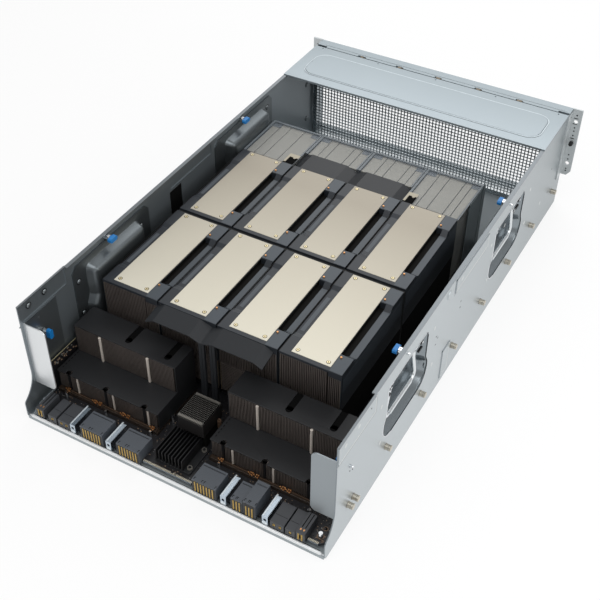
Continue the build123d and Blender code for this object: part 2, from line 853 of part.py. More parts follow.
with BuildPart() as front_hood:
    hood_y = front + hood_setback
    folded_roof(hood_y, module_front - seat_gap - hood_y, hood_top, bay_left + 5.5, bay_right)
    # two posts stand on the board, one under the valley and one beside it
    post = (hood_y + 1, hood_y + 5)
    block((valley - 4, valley + 4), post, (board_top, hood_top - hood_fold))
    rise = valley + valley_slope
    block((rise - 5, rise + 3), post, (board_top, hood_top - hood_sheet + 0.3))
save(front_hood.part, "front_hood")

with BuildPart() as rear_baffle:
    baffle_y = duct_front
    folded_roof(baffle_y, baffle_length, baffle_top, bay_left, bay_right)
    # cheeks stand on the board, one at each end
    eaves = baffle_top - hood_fold - hood_sheet + 0.5
    for x in ((bay_left, bay_left + sheet), (bay_right - sheet, bay_right)):
        block(x, (baffle_y, baffle_y + baffle_length), (board_top, eaves))
save(rear_baffle.part, "rear_baffle")

# Smoky exhaust ducts with fin stacks inside
duct_wall = 1.5
duct_height = 129.0
duct_bevel = 11.0
duct_starts = (0.0, baffle_length + 1.0, baffle_length + 1.0, 0.0)
duct_split = 0.5
stack_gap = 3.0
stack_base = 10.0
stack_fin = 9.0
stack_pitch = 14.0

ducts = []
stacks = []
for column, start in enumerate(duct_starts):
    # the first duct is cut short beside the handle recess
    x0 = max(duct_left + column * duct_pitch + duct_split, -inner + recess_depth + 1.0)
    x1 = duct_left + (column + 1) * duct_pitch - duct_split
    y = duct_front + start
    with BuildPart() as duct:
        with BuildSketch(Plane.YZ.offset(x0)):
            with BuildLine():
                Polyline(
                    (y, board_top),
                    (duct_back, board_top),
                    (duct_back, duct_height - duct_bevel),
                    (duct_back - duct_bevel, duct_height),
                    (y, duct_height),
                    close=True,
                )
            make_face()
        extrude(amount=x1 - x0)
        open_faces = duct.faces().sort_by(Axis.Z)[:1]
        offset(amount=-duct_wall, openings=open_faces)
    ducts.append(duct.part)
    with BuildPart() as stack:
        high = duct_height - duct_wall - seat_gap
        stack_front = y + duct_wall + seat_gap
        stack_back = duct_back - duct_bevel - duct_wall
        with BuildSketch(across(stack_back)):
            comb((x0 + stack_gap, x1 - stack_gap), (board_top, high), stack_pitch, stack_fin, stack_base)
        extrude(amount=stack_back - stack_front)
    stacks.append(stack.part)
save(Compound(children=ducts), "exhaust_ducts")
save(Compound(children=stacks), "exhaust_fin_stacks")
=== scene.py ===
import math
import random

import bmesh
import bpy
from mathutils import Matrix, Vector


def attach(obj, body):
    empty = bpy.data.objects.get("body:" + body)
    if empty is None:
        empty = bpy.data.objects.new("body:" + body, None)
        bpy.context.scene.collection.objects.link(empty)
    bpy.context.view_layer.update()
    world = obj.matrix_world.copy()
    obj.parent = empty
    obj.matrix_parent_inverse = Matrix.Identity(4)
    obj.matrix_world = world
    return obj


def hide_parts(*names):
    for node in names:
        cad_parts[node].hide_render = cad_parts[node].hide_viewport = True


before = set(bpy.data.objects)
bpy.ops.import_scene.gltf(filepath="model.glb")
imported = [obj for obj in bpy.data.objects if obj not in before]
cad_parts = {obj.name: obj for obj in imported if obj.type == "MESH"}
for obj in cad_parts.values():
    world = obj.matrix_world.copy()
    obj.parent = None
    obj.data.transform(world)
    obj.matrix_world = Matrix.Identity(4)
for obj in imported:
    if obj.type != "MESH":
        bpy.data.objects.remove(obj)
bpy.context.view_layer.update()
print("frame loaded:", len(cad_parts), "nodes")

mm = 0.001
sharpAngle = math.radians(40)
signs = {"left": -1, "right": 1}
ringAxes = {"x": (1, 2, 0), "y": (2, 0, 1), "z": (0, 1, 2)}
random.seed(7)


# plain shapes, in millimetres: each gives its points in metres and its faces
def boxPart(x, y, z):
    points = [(a * mm, b * mm, c * mm) for a in x for b in y for c in z]
    return points, [(0, 1, 3, 2), (4, 6, 7, 5), (0, 4, 5, 1), (2, 3, 7, 6), (0, 2, 6, 4), (1, 5, 7, 3)]


def boxesAt(spots, *boxes):
    # the same boxes from every (x, y) spot
    return [boxPart((x + a, x + b), (y + c, y + d), z) for x, y in spots for (a, b), (c, d), z in boxes]


def skinPart(loops, caps=(-1,), around=False):
    # closed loops of points joined one after another; caps are the loops that are filled
    size = len(loops[0])
    points = [tuple(c * mm for c in point) for loop in loops for point in loop]
    faces = []
    for row in range(len(loops) if around else len(loops) - 1):
        here, after = row * size, (row + 1) % len(loops) * size
        faces += [(here + i, here + (i + 1) % size, after + (i + 1) % size, after + i) for i in range(size)]
    for cap in caps:
        first = cap % len(loops) * size
        faces.append(tuple(range(first, first + size)))
    return points, faces


def prismPart(outline, axis, low, high):
    # outline is in the two axes that are left, in X, Y, Z order
    slot = "xyz".index(axis)
    return skinPart([[(*spot[:slot], depth, *spot[slot:]) for spot in outline] for depth in (low, high)], (0, -1))


def ringLoop(centre, axis, radius, depth, sides):
    loop = []
    for i in range(sides):
        angle = 2 * math.pi * i / sides
        spot = [0, 0, 0]
        for value, slot in zip((math.cos(angle) * radius, math.sin(angle) * radius, depth), ringAxes[axis]):
            spot[slot] = value
        loop.append([c + s for c, s in zip(centre, spot)])
    return loop


def roundPart(centre, axis, radius, length, sides=20, tip=1.0):
    # a disc or rod; tip below 1 narrows its far end
    ends = ((radius, 0), (radius * tip, length))
    return skinPart([ringLoop(centre, axis, r, depth, sides) for r, depth in ends], (0, -1))


def ringPart(centre, axis, outer, inner, length, sides=24):
    section = ((outer, 0), (outer, length), (inner, length), (inner, 0))
    return skinPart([ringLoop(centre, axis, r, depth, sides) for r, depth in section], (), around=True)


def bothSides(parts):
    # the parts and their mirror images on the left side
    return parts + [([(-x, y, z) for x, y, z in points], faces) for points, faces in parts]


def roundedRoute(corners, bends):
    # points along straight runs whose inner corners are rounded
    route, steps = [Vector(corners[0])], 7
    for before, here, after, bend in zip(corners, corners[1:], corners[2:], bends):
        here = Vector(here)
        back, ahead = (Vector(before) - here).normalized(), (Vector(after) - here).normalized()
        half = back.angle(ahead) / 2
        centre = here + (back + ahead).normalized() * (bend / math.sin(half))
        start = (here + back * bend / math.tan(half) - centre).normalized()
        end = (here + ahead * bend / math.tan(half) - centre).normalized()
        route += [centre + start.slerp(end, step / steps) * bend for step in range(steps + 1)]
    return route + [Vector(corners[-1])]


def rodPart(x, route, radius, sides=14):
    # a round rod along a route of (y, z) points in the plane at x
    loops = []
    for i, spot in enumerate(route):
        heading = (route[min(i + 1, len(route) - 1)] - route[max(i - 1, 0)]).normalized()
        loop = []
        for j in range(sides):
            side, out = (wave(2 * math.pi * j / sides) * radius for wave in (math.cos, math.sin))
            loop.append((x + side, spot.x - heading.y * out, spot.y + heading.x * out))
        loops.append(loop)
    return skinPart(loops, (0, -1))


def makeMesh(name, parts):
    mesh = bpy.data.meshes.new(name)
    points, faces = [], []
    for partPoints, partFaces in parts:
        faces += [tuple(i + len(points) for i in face) for face in partFaces]
        points += partPoints
    mesh.from_pydata(points, [], faces)
    shape = bmesh.new()
    shape.from_mesh(mesh)
    bmesh.ops.recalc_face_normals(shape, faces=shape.faces)
    shape.to_mesh(mesh)
    shape.free()
    return mesh


def newObject(name, data):
    item = bpy.data.objects.new(name, data)
    bpy.context.scene.collection.objects.link(item)
    return item


def smoothShade(mesh):
    mesh.shade_smooth()
    mesh.set_sharp_from_angle(angle=sharpAngle)


def soften(item, width, welded=True):
    # small rounded edges that catch the light; a CAD node's loose triangles are welded first
    if welded:
        item.modifiers.new("weld", "WELD").merge_threshold = 0.02 * mm
    edge = item.modifiers.new("edge", "BEVEL")
    edge.width = width * mm
    edge.segments = 2
    edge.limit_method = "ANGLE"
    edge.angle_limit = sharpAngle


def addPiece(name, parts, look, body="tray", bevel=0.0, smooth=False, stands=()):
    # the piece rides on its body and takes the place of the nodes that it stands for
    item = newObject(name, makeMesh(name, parts))
    item.data.materials.append(looks[look])
    if bevel:
        soften(item, bevel, welded=False)
    if smooth:
        smoothShade(item.data)
    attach(item, body)
    if stands:
        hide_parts(*stands)


# node helpers: an input takes a plain value, a colour or the output that drives it
def feed(tree, socket, value):
    if isinstance(value, bpy.types.NodeSocket):
        tree.links.new(value, socket)
    else:
        socket.default_value = (*value[:3], 1.0) if socket.type == "RGBA" else value


def addNode(tree, kind, feeds=None, **values):
    node = tree.nodes.new(kind)
    for key, value in values.items():
        setattr(node, key, value)
    for slot, value in (feeds or {}).items():
        feed(tree, node.inputs[slot], value)
    return node


def newGroup(name, kind, inputs, outputs):
    # inputs are (label, kind of socket, value or None) and outputs are (label, kind of socket)
    group = bpy.data.node_groups.new(name, kind + "NodeTree")
    for label, socketKind, value in inputs:
        socket = group.interface.new_socket(label, in_out="INPUT", socket_type="NodeSocket" + socketKind)
        if value is not None:
            socket.default_value = value
    for label, socketKind in outputs:
        group.interface.new_socket(label, in_out="OUTPUT", socket_type="NodeSocket" + socketKind)
    return group, addNode(group, "NodeGroupInput").outputs, addNode(group, "NodeGroupOutput").inputs


def mathNode(tree, operation, *values):
    return addNode(tree, "ShaderNodeMath", dict(enumerate(values)), operation=operation).outputs[0]


def vectorNode(tree, operation, feeds):
    return addNode(tree, "ShaderNodeVectorMath", feeds, operation=operation).outputs


def mixColour(tree, factor, first, second):
    return addNode(tree, "ShaderNodeMix", {0: factor, 6: first, 7: second}, data_type="RGBA").outputs[2]


def objectCoords(tree):
    return addNode(tree, "ShaderNodeTexCoord").outputs["Object"]


def noise(tree, **feeds):
    return addNode(tree, "ShaderNodeTexNoise", feeds).outputs[0]


def buildGrainGroup():
    # fine grain with a direction, over a slow cloud of tone
    group, source, result = newGroup(
        "surfaceGrain", "Shader",
        [("Colour", "Color", (0.5, 0.5, 0.5, 1.0)), ("Stretch", "Vector", (1.0, 1.0, 1.0)),
         ("Grain Scale", "Float", 900.0), ("Tone Amount", "Float", 0.12), ("Roughness", "Float", 0.4),
         ("Roughness Spread", "Float", 0.12)],
        [("Colour", "Color"), ("Roughness", "Float"), ("Height", "Float")],
    )
    coords = objectCoords(group)
    stretched = vectorNode(group, "MULTIPLY", {0: coords, 1: source["Stretch"]})[0]
    fine = noise(group, Vector=stretched, Scale=source["Grain Scale"], Detail=3.0)
    cloud = noise(group, Vector=coords, Scale=14.0, Detail=2.0)
    both = mathNode(group, "ADD", mathNode(group, "MULTIPLY", fine, 0.6), mathNode(group, "MULTIPLY", cloud, 0.4))
    centred = mathNode(group, "SUBTRACT", both, 0.5)
    gain = mathNode(group, "ADD", 1.0, mathNode(group, "MULTIPLY", centred, source["Tone Amount"]))
    spread = mathNode(group, "MULTIPLY", centred, source["Roughness Spread"])
    feed(group, result["Colour"], vectorNode(group, "SCALE", {0: source["Colour"], "Scale": gain})[0])
    feed(group, result["Roughness"], mathNode(group, "ADD", source["Roughness"], spread))
    feed(group, result["Height"], fine)
    return group


def buildLineGroup():
    # thin parallel lines across one axis, for the wafers of the connectors
    group, source, result = newGroup(
        "fineLines", "Shader",
        [("Direction", "Vector", (1.0, 0.0, 0.0)), ("Pitch", "Float", 0.002), ("Line Share", "Float", 0.2)],
        [("Mask", "Float")],
    )
    along = vectorNode(group, "DOT_PRODUCT", {0: objectCoords(group), 1: source["Direction"]})["Value"]
    turns = mathNode(group, "DIVIDE", along, source["Pitch"])
    share = mathNode(group, "FRACT", mathNode(group, "ADD", turns, 1000.0))
    feed(group, result["Mask"], mathNode(group, "LESS_THAN", share, source["Line Share"]))
    return group


def buildWearGroup():
    # a lighter tone where an edge has been handled
    group, source, result = newGroup(
        "edgeWear", "Shader", [("Width", "Float", 0.0006), ("Amount", "Float", 0.6)], [("Mask", "Float")]
    )
    bevel = addNode(group, "ShaderNodeBevel", {"Radius": source["Width"]}, samples=4).outputs[0]
    normal = addNode(group, "ShaderNodeNewGeometry").outputs["Normal"]
    gap = mathNode(group, "SUBTRACT", 1.0, vectorNode(group, "DOT_PRODUCT", {0: bevel, 1: normal})["Value"])
    strong = mathNode(group, "MINIMUM", mathNode(group, "MULTIPLY", gap, 6.0), 1.0)
    patches = mathNode(group, "ADD", noise(group, Vector=objectCoords(group), Scale=60.0), 0.3)
    broken = mathNode(group, "MULTIPLY", strong, patches)
    feed(group, result["Mask"], mathNode(group, "MULTIPLY", broken, source["Amount"]))
    return group


grainGroup, lineGroup, wearGroup = buildGrainGroup(), buildLineGroup(), buildWearGroup()
looks = {}


def addLook(name, colour, rough, metal=0.0, grain=900.0, stretch=(1, 1, 1), tone=0.15, spread=0.12,
            bump=0.05, wear=None, lines=None, alpha=1.0, specular=0.5, fades=()):
    # wear is (amount, colour), lines is (direction, pitch, share, colour), each fade is (axis, start, end, colour) and
    # paints shade that grows along an axis
    material = looks[name] = bpy.data.materials.new(name)
    material.use_nodes = True
    tree = material.node_tree
    values = {"Colour": colour, "Stretch": stretch, "Grain Scale": grain, "Tone Amount": tone, "Roughness": rough,
              "Roughness Spread": spread}
    surface = addNode(tree, "ShaderNodeGroup", values, node_tree=grainGroup).outputs
    tint, height = surface["Colour"], surface["Height"]
    if lines:
        direction, pitch, share, lineColour = lines
        values = {"Direction": direction, "Pitch": pitch * mm, "Line Share": share}
        mask = addNode(tree, "ShaderNodeGroup", values, node_tree=lineGroup).outputs["Mask"]
        tint = mixColour(tree, mask, tint, lineColour)
        height = mathNode(tree, "SUBTRACT", height, mask)
    for axis, start, end, farColour in fades:
        split = addNode(tree, "ShaderNodeSeparateXYZ", {0: objectCoords(tree)}).outputs["XYZ".index(axis)]
        values = {"Value": split, "From Min": start * mm, "From Max": end * mm}
        tint = mixColour(tree, addNode(tree, "ShaderNodeMapRange", values).outputs[0], tint, farColour)
    if wear:
        mask = addNode(tree, "ShaderNodeGroup", {"Amount": wear[0]}, node_tree=wearGroup).outputs["Mask"]
        tint = mixColour(tree, mask, tint, wear[1])
    relief = addNode(tree, "ShaderNodeBump", {"Strength": bump, "Distance": 0.0002, "Height": height}).outputs[0]
    values = {"Base Color": tint, "Roughness": surface["Roughness"], "Metallic": metal,
              "Specular IOR Level": specular, "Alpha": alpha, "Normal": relief}
    for slot, value in values.items():
        feed(tree, tree.nodes["Principled BSDF"].inputs[slot], value)


zinc = {"grain": 420, "bump": 0.03}
hemShade = ("Z", 173.6, 174.0, (0.20, 0.22, 0.235))
addLook("zincSheet", (0.47, 0.51, 0.53), 0.27, 1.0, tone=0.10, **zinc)
for side, sign in signs.items():  # the inside of each wall is painted darker than its outside as painted shade, and each wall is painted darker towards the rear as painted shade
    insidePaintedShade = ("X", sign * 219.95, sign * 219.75, (0.235, 0.265, 0.285))
    addLook(side + "WallZinc", (0.45, 0.49, 0.51), 0.34, 0.7, 420, tone=0.10, spread=0.05, bump=0.02,
            fades=[("Y", -150, 400, (0.29, 0.325, 0.34)), insidePaintedShade, hemShade])
addLook("floorZinc", (0.36, 0.40, 0.42), 0.5, 0.2, 420, tone=0.08, bump=0.02, specular=0.3)
# painted shade: the rear cover and top strip are painted darker towards the rear edge
addLook("zincCover", (0.35, 0.40, 0.43), 0.38, 0.65, tone=0.08, fades=[("Y", 280, 372, (0.29, 0.335, 0.36))], **zinc)
# painted highlight along the edge of the rear cover's pressed panel
addLook("embossHighlightZinc", (0.50, 0.56, 0.59), 0.4, 0.5, tone=0.08, **zinc)
addLook("earZinc", (0.50, 0.53, 0.54), 0.4, 0.6, tone=0.2, **zinc)
# painted shade: the right bracket is painted darker than the left, and each bracket is painted darker behind its front
# face
addLook("bracketZinc", (0.74, 0.76, 0.77), 0.34, 0.8, tone=0.08, **zinc,
        fades=[("X", -10, 10, (0.29, 0.32, 0.34)), ("Y", -372.3, -371.9, (0.17, 0.19, 0.20))])
# also the painted shade just inside the edge of the rear cover's pressed panel
addLook("pressedZinc", (0.26, 0.29, 0.31), 0.24, 1.0, tone=0.12, **zinc)
addLook("pressedShade", (0.15, 0.168, 0.178), 0.34, 0.85, 420, tone=0.12, spread=0.05, bump=0.02)
addLook("shadeZinc", (0.33, 0.36, 0.375), 0.4, 0.6, 420, tone=0.1)
# weld spots, and also the painted highlight strips on the pressed pads
addLook("weldSpotAndHighlightZinc", (0.62, 0.64, 0.64), 0.5, 0.5, 600, tone=0.3)
addLook("guideSteel", (0.46, 0.53, 0.60), 0.26, 1.0, 700, (1, 0.08, 1), tone=0.45)
addLook("paleSteel", (0.72, 0.78, 0.82), 0.4, 0.6, 500, tone=0.1)
addLook("hemSteel", (0.86, 0.88, 0.89), 0.35, 0.25, 500, tone=0.1)
addLook("postSteel", (0.62, 0.56, 0.50), 0.5, 0.35, 700, tone=0.2)
addLook("rollerGrey", (0.13, 0.14, 0.145), 0.4, 0.7, 700, (1, 0.1, 1), tone=0.3)
addLook("chromeRod", (0.70, 0.73, 0.75), 0.10, 1.0, 500, tone=0.1)
addLook("screwSteel", (0.20, 0.22, 0.23), 0.3, 0.8, 700, tone=0.1)
# bright steel parts, and also the painted highlight rim along the top and front of each handle recess
addLook("brightSteelAndHighlight", (0.80, 0.82, 0.84), 0.16, 1.0, 500, (1, 0.1, 1), tone=0.12)
addLook("studSteel", (0.55, 0.51, 0.43), 0.35, 0.9, 700)
addLook("blackCover", (0.013, 0.0135, 0.015), 0.5, 0.0, 1400, tone=0.3, wear=(0.2, (0.10, 0.105, 0.11)), specular=0.35)
addLook("blackFin", (0.012, 0.011, 0.011), 0.42, 0.2, tone=0.4, wear=(0.3, (0.10, 0.095, 0.09)), specular=0.4)
addLook("brownFin", (0.19, 0.162, 0.148), 0.42, 0.6, 500, (1, 1, 0.1), tone=0.7)
addLook("darkCore", (0.006, 0.0055, 0.005), 0.8, specular=0.15)
addLook("slatePanel", (0.024, 0.028, 0.034), 0.34, 0.1, 700, tone=0.25, wear=(0.3, (0.10, 0.12, 0.14)), specular=0.35)
addLook("slateLedge", (0.050, 0.061, 0.073), 0.34, 0.1, 700, tone=0.2, specular=0.4)
addLook("slateStrip", (0.062, 0.072, 0.084), 0.45, tone=0.35, specular=0.4)
addLook("sinkBlack", (0.008, 0.008, 0.009), 0.4, tone=0.3, wear=(0.12, (0.06, 0.06, 0.06)), specular=0.3)
addLook("hoodBlack", (0.017, 0.019, 0.022), 0.42, specular=0.35)
# painted shade: the module plates are painted darker towards the rear
addLook("champagne", (0.655, 0.62, 0.515), 0.40, 0.3, 1600, tone=0.12, bump=0.04,
        fades=[("Y", -240, 60, (0.345, 0.31, 0.25))])
addLook("boardBlack", (0.012, 0.012, 0.014), 0.38, grain=1200, tone=0.5)
addLook("connectorSlate", (0.072, 0.082, 0.097), 0.42, tone=0.3,
        lines=((1.0, 0.0, 0.0), 1.4, 0.22, (0.05, 0.057, 0.068)))
addLook("powerSlate", (0.045, 0.048, 0.054), 0.48, grain=1000, tone=0.3)
addLook("gold", (0.62, 0.42, 0.12), 0.3, 0.9)
addLook("copper", (0.62, 0.31, 0.13), 0.3, 0.9)
addLook("ringTan", (0.17, 0.11, 0.075), 0.35, 0.6)
addLook("brass", (0.78, 0.68, 0.42), 0.3, 0.8)
addLook("gripBlue", (0.006, 0.165, 0.46), 0.35, grain=700, tone=0.2)
addLook("sealBlack", (0.012, 0.012, 0.012), 0.6)
addLook("ductSmoke", (0.22, 0.25, 0.29), 0.2, grain=200, tone=0.1, alpha=0.14, specular=0.25)
addLook("ductEdge", (0.19, 0.215, 0.235), 0.25, grain=200, tone=0.2, alpha=0.7, specular=0.4)
addLook("ductWall", (0.15, 0.18, 0.19), 0.3, grain=200, tone=0.2)
addLook("stackTaupe", (0.40, 0.385, 0.335), 0.5, 0.25, 600, (0.15, 1, 1), tone=0.25)
addLook("tanFoot", (0.035, 0.024, 0.017), 0.22, 0.1, 700, tone=0.6)
addLook("tanClip", (0.20, 0.16, 0.11), 0.4, 0.3, 700, tone=0.4)
addLook("paleStrip", (0.32, 0.37, 0.42), 0.5, tone=0.25)
# also the painted shade rings round the bases of the shoulder studs
addLook("finSilver", (0.30, 0.28, 0.25), 0.4, 0.6, 700)
addLook("fineFin", (0.15, 0.145, 0.133), 0.45, 0.3, 700, tone=0.3)
addLook("chipBlack", (0.02, 0.02, 0.022), 0.45, tone=0.3)
addLook("chipTan", (0.30, 0.21, 0.14), 0.5, tone=0.5)
addLook("chipSilver", (0.5, 0.5, 0.48), 0.35, 0.8)
addLook("fingerCream", (0.66, 0.61, 0.48), 0.4, 0.3, 700, tone=0.2)
addLook("creamTab", (0.42, 0.38, 0.29), 0.5, grain=700, tone=0.2)
# holes and openings; also painted shade: the dark rims round the handle recesses and the rings round the wall screws
addLook("holeAndShadeBlack", (0.002, 0.002, 0.002), 0.9, specular=0.1)
print("materials ready")


def dress(look, *names, edge=0.0):
    for name in names:
        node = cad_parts[name]
        node.data.materials.clear()
        node.data.materials.append(looks[look])
        if edge:
            soften(node, edge)


modules = [f"module_{i}" for i in range(1, 9)]
for side in signs:
    dress(side + "WallZinc", side + "_wall")
    dress("pressedZinc", *[f"{side}_{place}_recess" for place in ("front", "rear")])
    dress("brightSteelAndHighlight", *[f"{side}_{place}_handle" for place in ("front", "rear")])
    dress("gripBlue", *[f"{side}_{place}_plunger" for place in ("front", "middle", "rear")])
    dress("blackFin", side + "_switch_fins")
    dress("blackCover", side + "_switch_cover", edge=0.4)
dress("zincSheet", "exhaust_screen")
dress("floorZinc", "base_pan")
dress("earZinc", "rack_ears")
dress("bracketZinc", "corner_brackets")
dress("zincCover", "rear_cover", "rear_top_strip")
dress("guideSteel", "guide_blocks")
dress("brightSteelAndHighlight", "plunger_barrels", "board_standoffs")
dress("studSteel", "slide_studs")
dress("boardBlack", "baseboard", "module_cards")
dress("tanFoot", "switch_carriers")
dress("connectorSlate", "high_speed_connectors", edge=0.3)
dress("powerSlate", "signal_connectors", "power_connectors", edge=0.3)
dress("blackFin", "controller_heatsink", "fine_fin_heatsink", *[name + "_heatsink" for name in modules])
dress("slatePanel", *[name + "_shroud" for name in modules], edge=0.5)
dress("hoodBlack", "front_hood", "rear_baffle")
dress("champagne", "module_plates", edge=0.3)
dress("ductSmoke", "exhaust_ducts")
dress("stackTaupe", "exhaust_fin_stacks")
dress("sealBlack", "row_seal")
print("CAD nodes dressed")


# geometry node helpers
def newTree(name, *inputs):
    sockets = [("Places", "Geometry", None), *[(*entry, None) for entry in inputs], ("Material", "Material", None)]
    return newGroup(name, "Geometry", sockets, [("Result", "Geometry")])


def instances(tree, points, item, **more):
    return addNode(tree, "GeometryNodeInstanceOnPoints", {"Points": points, "Instance": item, **more}).outputs[0]


def endTree(tree, source, result, geometry):
    real = addNode(tree, "GeometryNodeRealizeInstances", {0: geometry}).outputs[0]
    values = {"Geometry": real, "Material": source["Material"]}
    feed(tree, result[0], addNode(tree, "GeometryNodeSetMaterial", values).outputs[0])
    return tree


def buildBarTree():
    # a row of equal bars that starts at each place
    tree, source, result = newTree("barRows", ("Count", "Int"), ("Step", "Vector"), ("Size", "Vector"))
    values = {"Count": source["Count"], "Offset": source["Step"]}
    line = addNode(tree, "GeometryNodeMeshLine", values, mode="OFFSET").outputs[0]
    bar = addNode(tree, "GeometryNodeMeshCube", {"Size": source["Size"]}).outputs[0]
    return endTree(tree, source, result, instances(tree, source["Places"], instances(tree, line, bar)))


def buildItemTree():
    # one small item, such as a screw, at each place
    tree, source, result = newTree("itemsInPlace", ("Item", "Object"))
    info = addNode(tree, "GeometryNodeObjectInfo", {"Object": source["Item"]}, transform_space="ORIGINAL")
    return endTree(tree, source, result, instances(tree, source["Places"], info.outputs["Geometry"]))


def buildScatterTree():
    # small board components, scattered over the faces that are given
    tree, source, result = newTree("boardParts", ("Density", "Float"), ("Seed", "Int"), ("Smallest", "Vector"),
                                   ("Largest", "Vector"))
    values = {"Distance Min": 0.0016, "Mesh": source["Places"], "Density Max": source["Density"],
              "Seed": source["Seed"]}
    spread = addNode(tree, "GeometryNodeDistributePointsOnFaces", distribute_method="POISSON")
    for slot, value in values.items():
        feed(tree, spread.inputs[slot], value)
    chip = addNode(tree, "GeometryNodeMeshCube", {"Size": (1, 1, 1)}).outputs[0]
    values = {"Min": source["Smallest"], "Max": source["Largest"], "Seed": source["Seed"]}
    size = addNode(tree, "FunctionNodeRandomValue", values, data_type="FLOAT_VECTOR").outputs["Value"]
    return endTree(tree, source, result, instances(tree, spread.outputs["Points"], chip, Scale=size))


barTree, itemTree, scatterTree = buildBarTree(), buildItemTree(), buildScatterTree()


def runTree(name, tree, base, values):
    # the tree's result becomes a plain mesh that rides on the tray
    maker = newObject(name + "Maker", base)
    modifier = maker.modifiers.new("nodes", "NODES")
    modifier.node_group = tree
    for socket in tree.interface.items_tree:
        if socket.in_out == "INPUT" and socket.name in values:
            modifier[socket.identifier] = values[socket.name]
    bpy.context.view_layer.update()
    graph = bpy.context.evaluated_depsgraph_get()
    mesh = bpy.data.meshes.new_from_object(maker.evaluated_get(graph))
    bpy.data.objects.remove(maker)
    mesh.name = name
    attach(newObject(name, mesh), "tray")


def inMetres(values):
    return tuple(value * mm for value in values)


def pointMesh(places):
    mesh = bpy.data.meshes.new("places")
    mesh.from_pydata([inMetres(place) for place in places], [], [])
    return mesh


def barRows(name, places, count, step, size, look):
    # places are the centre of each row's first bar
    values = {"Count": count, "Step": inMetres(step), "Size": inMetres(size), "Material": looks[look]}
    runTree(name, barTree, pointMesh(places), values)


def setItems(name, places, parts, look, smooth=False):
    item = newObject(name + "Item", makeMesh(name + "Item", parts))
    if smooth:
        smoothShade(item.data)
    runTree(name, itemTree, pointMesh(places), {"Item": item, "Material": looks[look]})
    bpy.data.objects.remove(item)


def fitCount(length, pitch):
    return int(length / pitch) + 1


# exhaust screen: a frame and crossing bars that leave square holes
screen = {"y": (365.0, 366.5), "half": 218.2, "field": 211.5, "foot": 9.0, "head": 170.0, "top": 175.4, "floor": 1.6,
          "pitch": 5.7, "web": 1.7, "uprightDepth": 1.3, "crossDepth": 1.1,
          "sill": ((-218, 218), (367.5, 399.2), (1.5, 1.8))}
half, field, foot, head, web = (screen[k] for k in ("half", "field", "foot", "head", "web"))
frameParts = [boxPart(x, screen["y"], (foot, screen["top"])) for x in ((-half, -field), (field, half))]
frameParts += [boxPart((-field, field), screen["y"], z) for z in ((head, screen["top"]), (screen["floor"], foot))]
addPiece("screenFrame", frameParts, "zincSheet", bevel=0.3, stands=("exhaust_screen",))
midY = sum(screen["y"]) / 2
columns, rows = fitCount(2 * field, screen["pitch"]), fitCount(head - foot, screen["pitch"])
barRows("screenUprights", [(-field, midY, (foot + head) / 2)], columns, (2 * field / (columns - 1), 0, 0),
        (web, screen["uprightDepth"], head - foot), "zincSheet")
barRows("screenCrossBars", [(0, midY, foot)], rows, (0, 0, (head - foot) / (rows - 1)),
        (2 * field, screen["crossDepth"], web), "zincSheet")
addPiece("rearSill", [boxPart(*screen["sill"])], "hemSteel")
print("screen ready:", columns, "by", rows)

# accelerator modules: spans are distances from each module's front left corner, heights are from the floor
module = {"length": 172.0, "pitch": 88.6, "gap": 5.5, "left": -194.0, "front": -250.0, "top": 138.0, "middle": 86,
          "foot": 18.7, "skirt": 74.0, "finPitch": 2.5, "fin": 1.0, "slatPitch": 3.0, "slat": 1.3, "finLength": 171}
cornerSpots = [
    (module["left"] + column * module["pitch"], module["front"] + row * (module["length"] + module["gap"]))
    for row in range(2)
    for column in range(4)
]
foot, skirt, finPitch = module["foot"], module["skirt"], module["finPitch"]


def atModules(dx, dy, z):
    return [(x + dx, y + dy, z) for x, y in cornerSpots]


moduleCores = boxesAt(cornerSpots, ((2.4, 84), (6, 166), (foot, 127)), ((2.4, 66), (6, 166), (127, 133.6)),
                      ((2, 84.5), (0.6, 171.4), (foot, foot + 4)))
addPiece("moduleCores", moduleCores, "darkCore", stands=[name + "_heatsink" for name in modules])
for name, start, reach, top in (("moduleFins", 2.6, 63, 133.8), ("moduleLedgeFins", 69, 15, 127.8)):
    barRows(name, atModules(start, module["middle"], (skirt + top) / 2), fitCount(reach, finPitch),
            (finPitch, 0, 0), (module["fin"], module["finLength"], top - skirt), "brownFin")
barRows("moduleSlats", atModules(43.2, module["middle"], foot + 6), fitCount(skirt - foot - 6, module["slatPitch"]),
        (0, 0, module["slatPitch"]), (82.5, module["finLength"], module["slat"]), "brownFin")
for name, dx in (("modulePostsLeft", 1.2), ("modulePostsRight", 85.3)):
    barRows(name, atModules(dx, 0.7, 24), 44, (0, 0, 2.5), (0.7, 1.2, 1.3), "tanClip")

plate = {"screwX": (20, 62), "screwY": (12.5, 165), "copper": ((72, 26), (72, 146))}
screwPlaces = [
    (x + dx, y + dy, module["top"]) for x, y in cornerSpots for dx in plate["screwX"] for dy in plate["screwY"]
]
copperPlaces = [(x + dx, y + dy, module["top"]) for x, y in cornerSpots for dx, dy in plate["copper"]]
plateScrew = [roundPart((0, 0, 0), "z", 2.3, 0.35, 20, 0.85), ringPart((0, 0, 0.2), "z", 2.0, 1.1, 0.4, 20)]
screwShade = [ringPart((0, 0, 0), "z", 2.9, 2.2, 0.12, 20), roundPart((0, 0, 0.3), "z", 0.9, 0.16, 6)]
setItems("plateScrewShades", screwPlaces, screwShade, "tanFoot")
setItems("plateScrews", screwPlaces, plateScrew, "brass", smooth=True)
setItems("copperScrews", copperPlaces, [roundPart((0, 0, 0), "z", 1.6, 1.8, 16, 0.8)], "copper", smooth=True)
addPiece("moduleStrips", boxesAt(cornerSpots, ((4.2, 9.6), (46, 116), (135.95, 136.15))), "slateStrip")
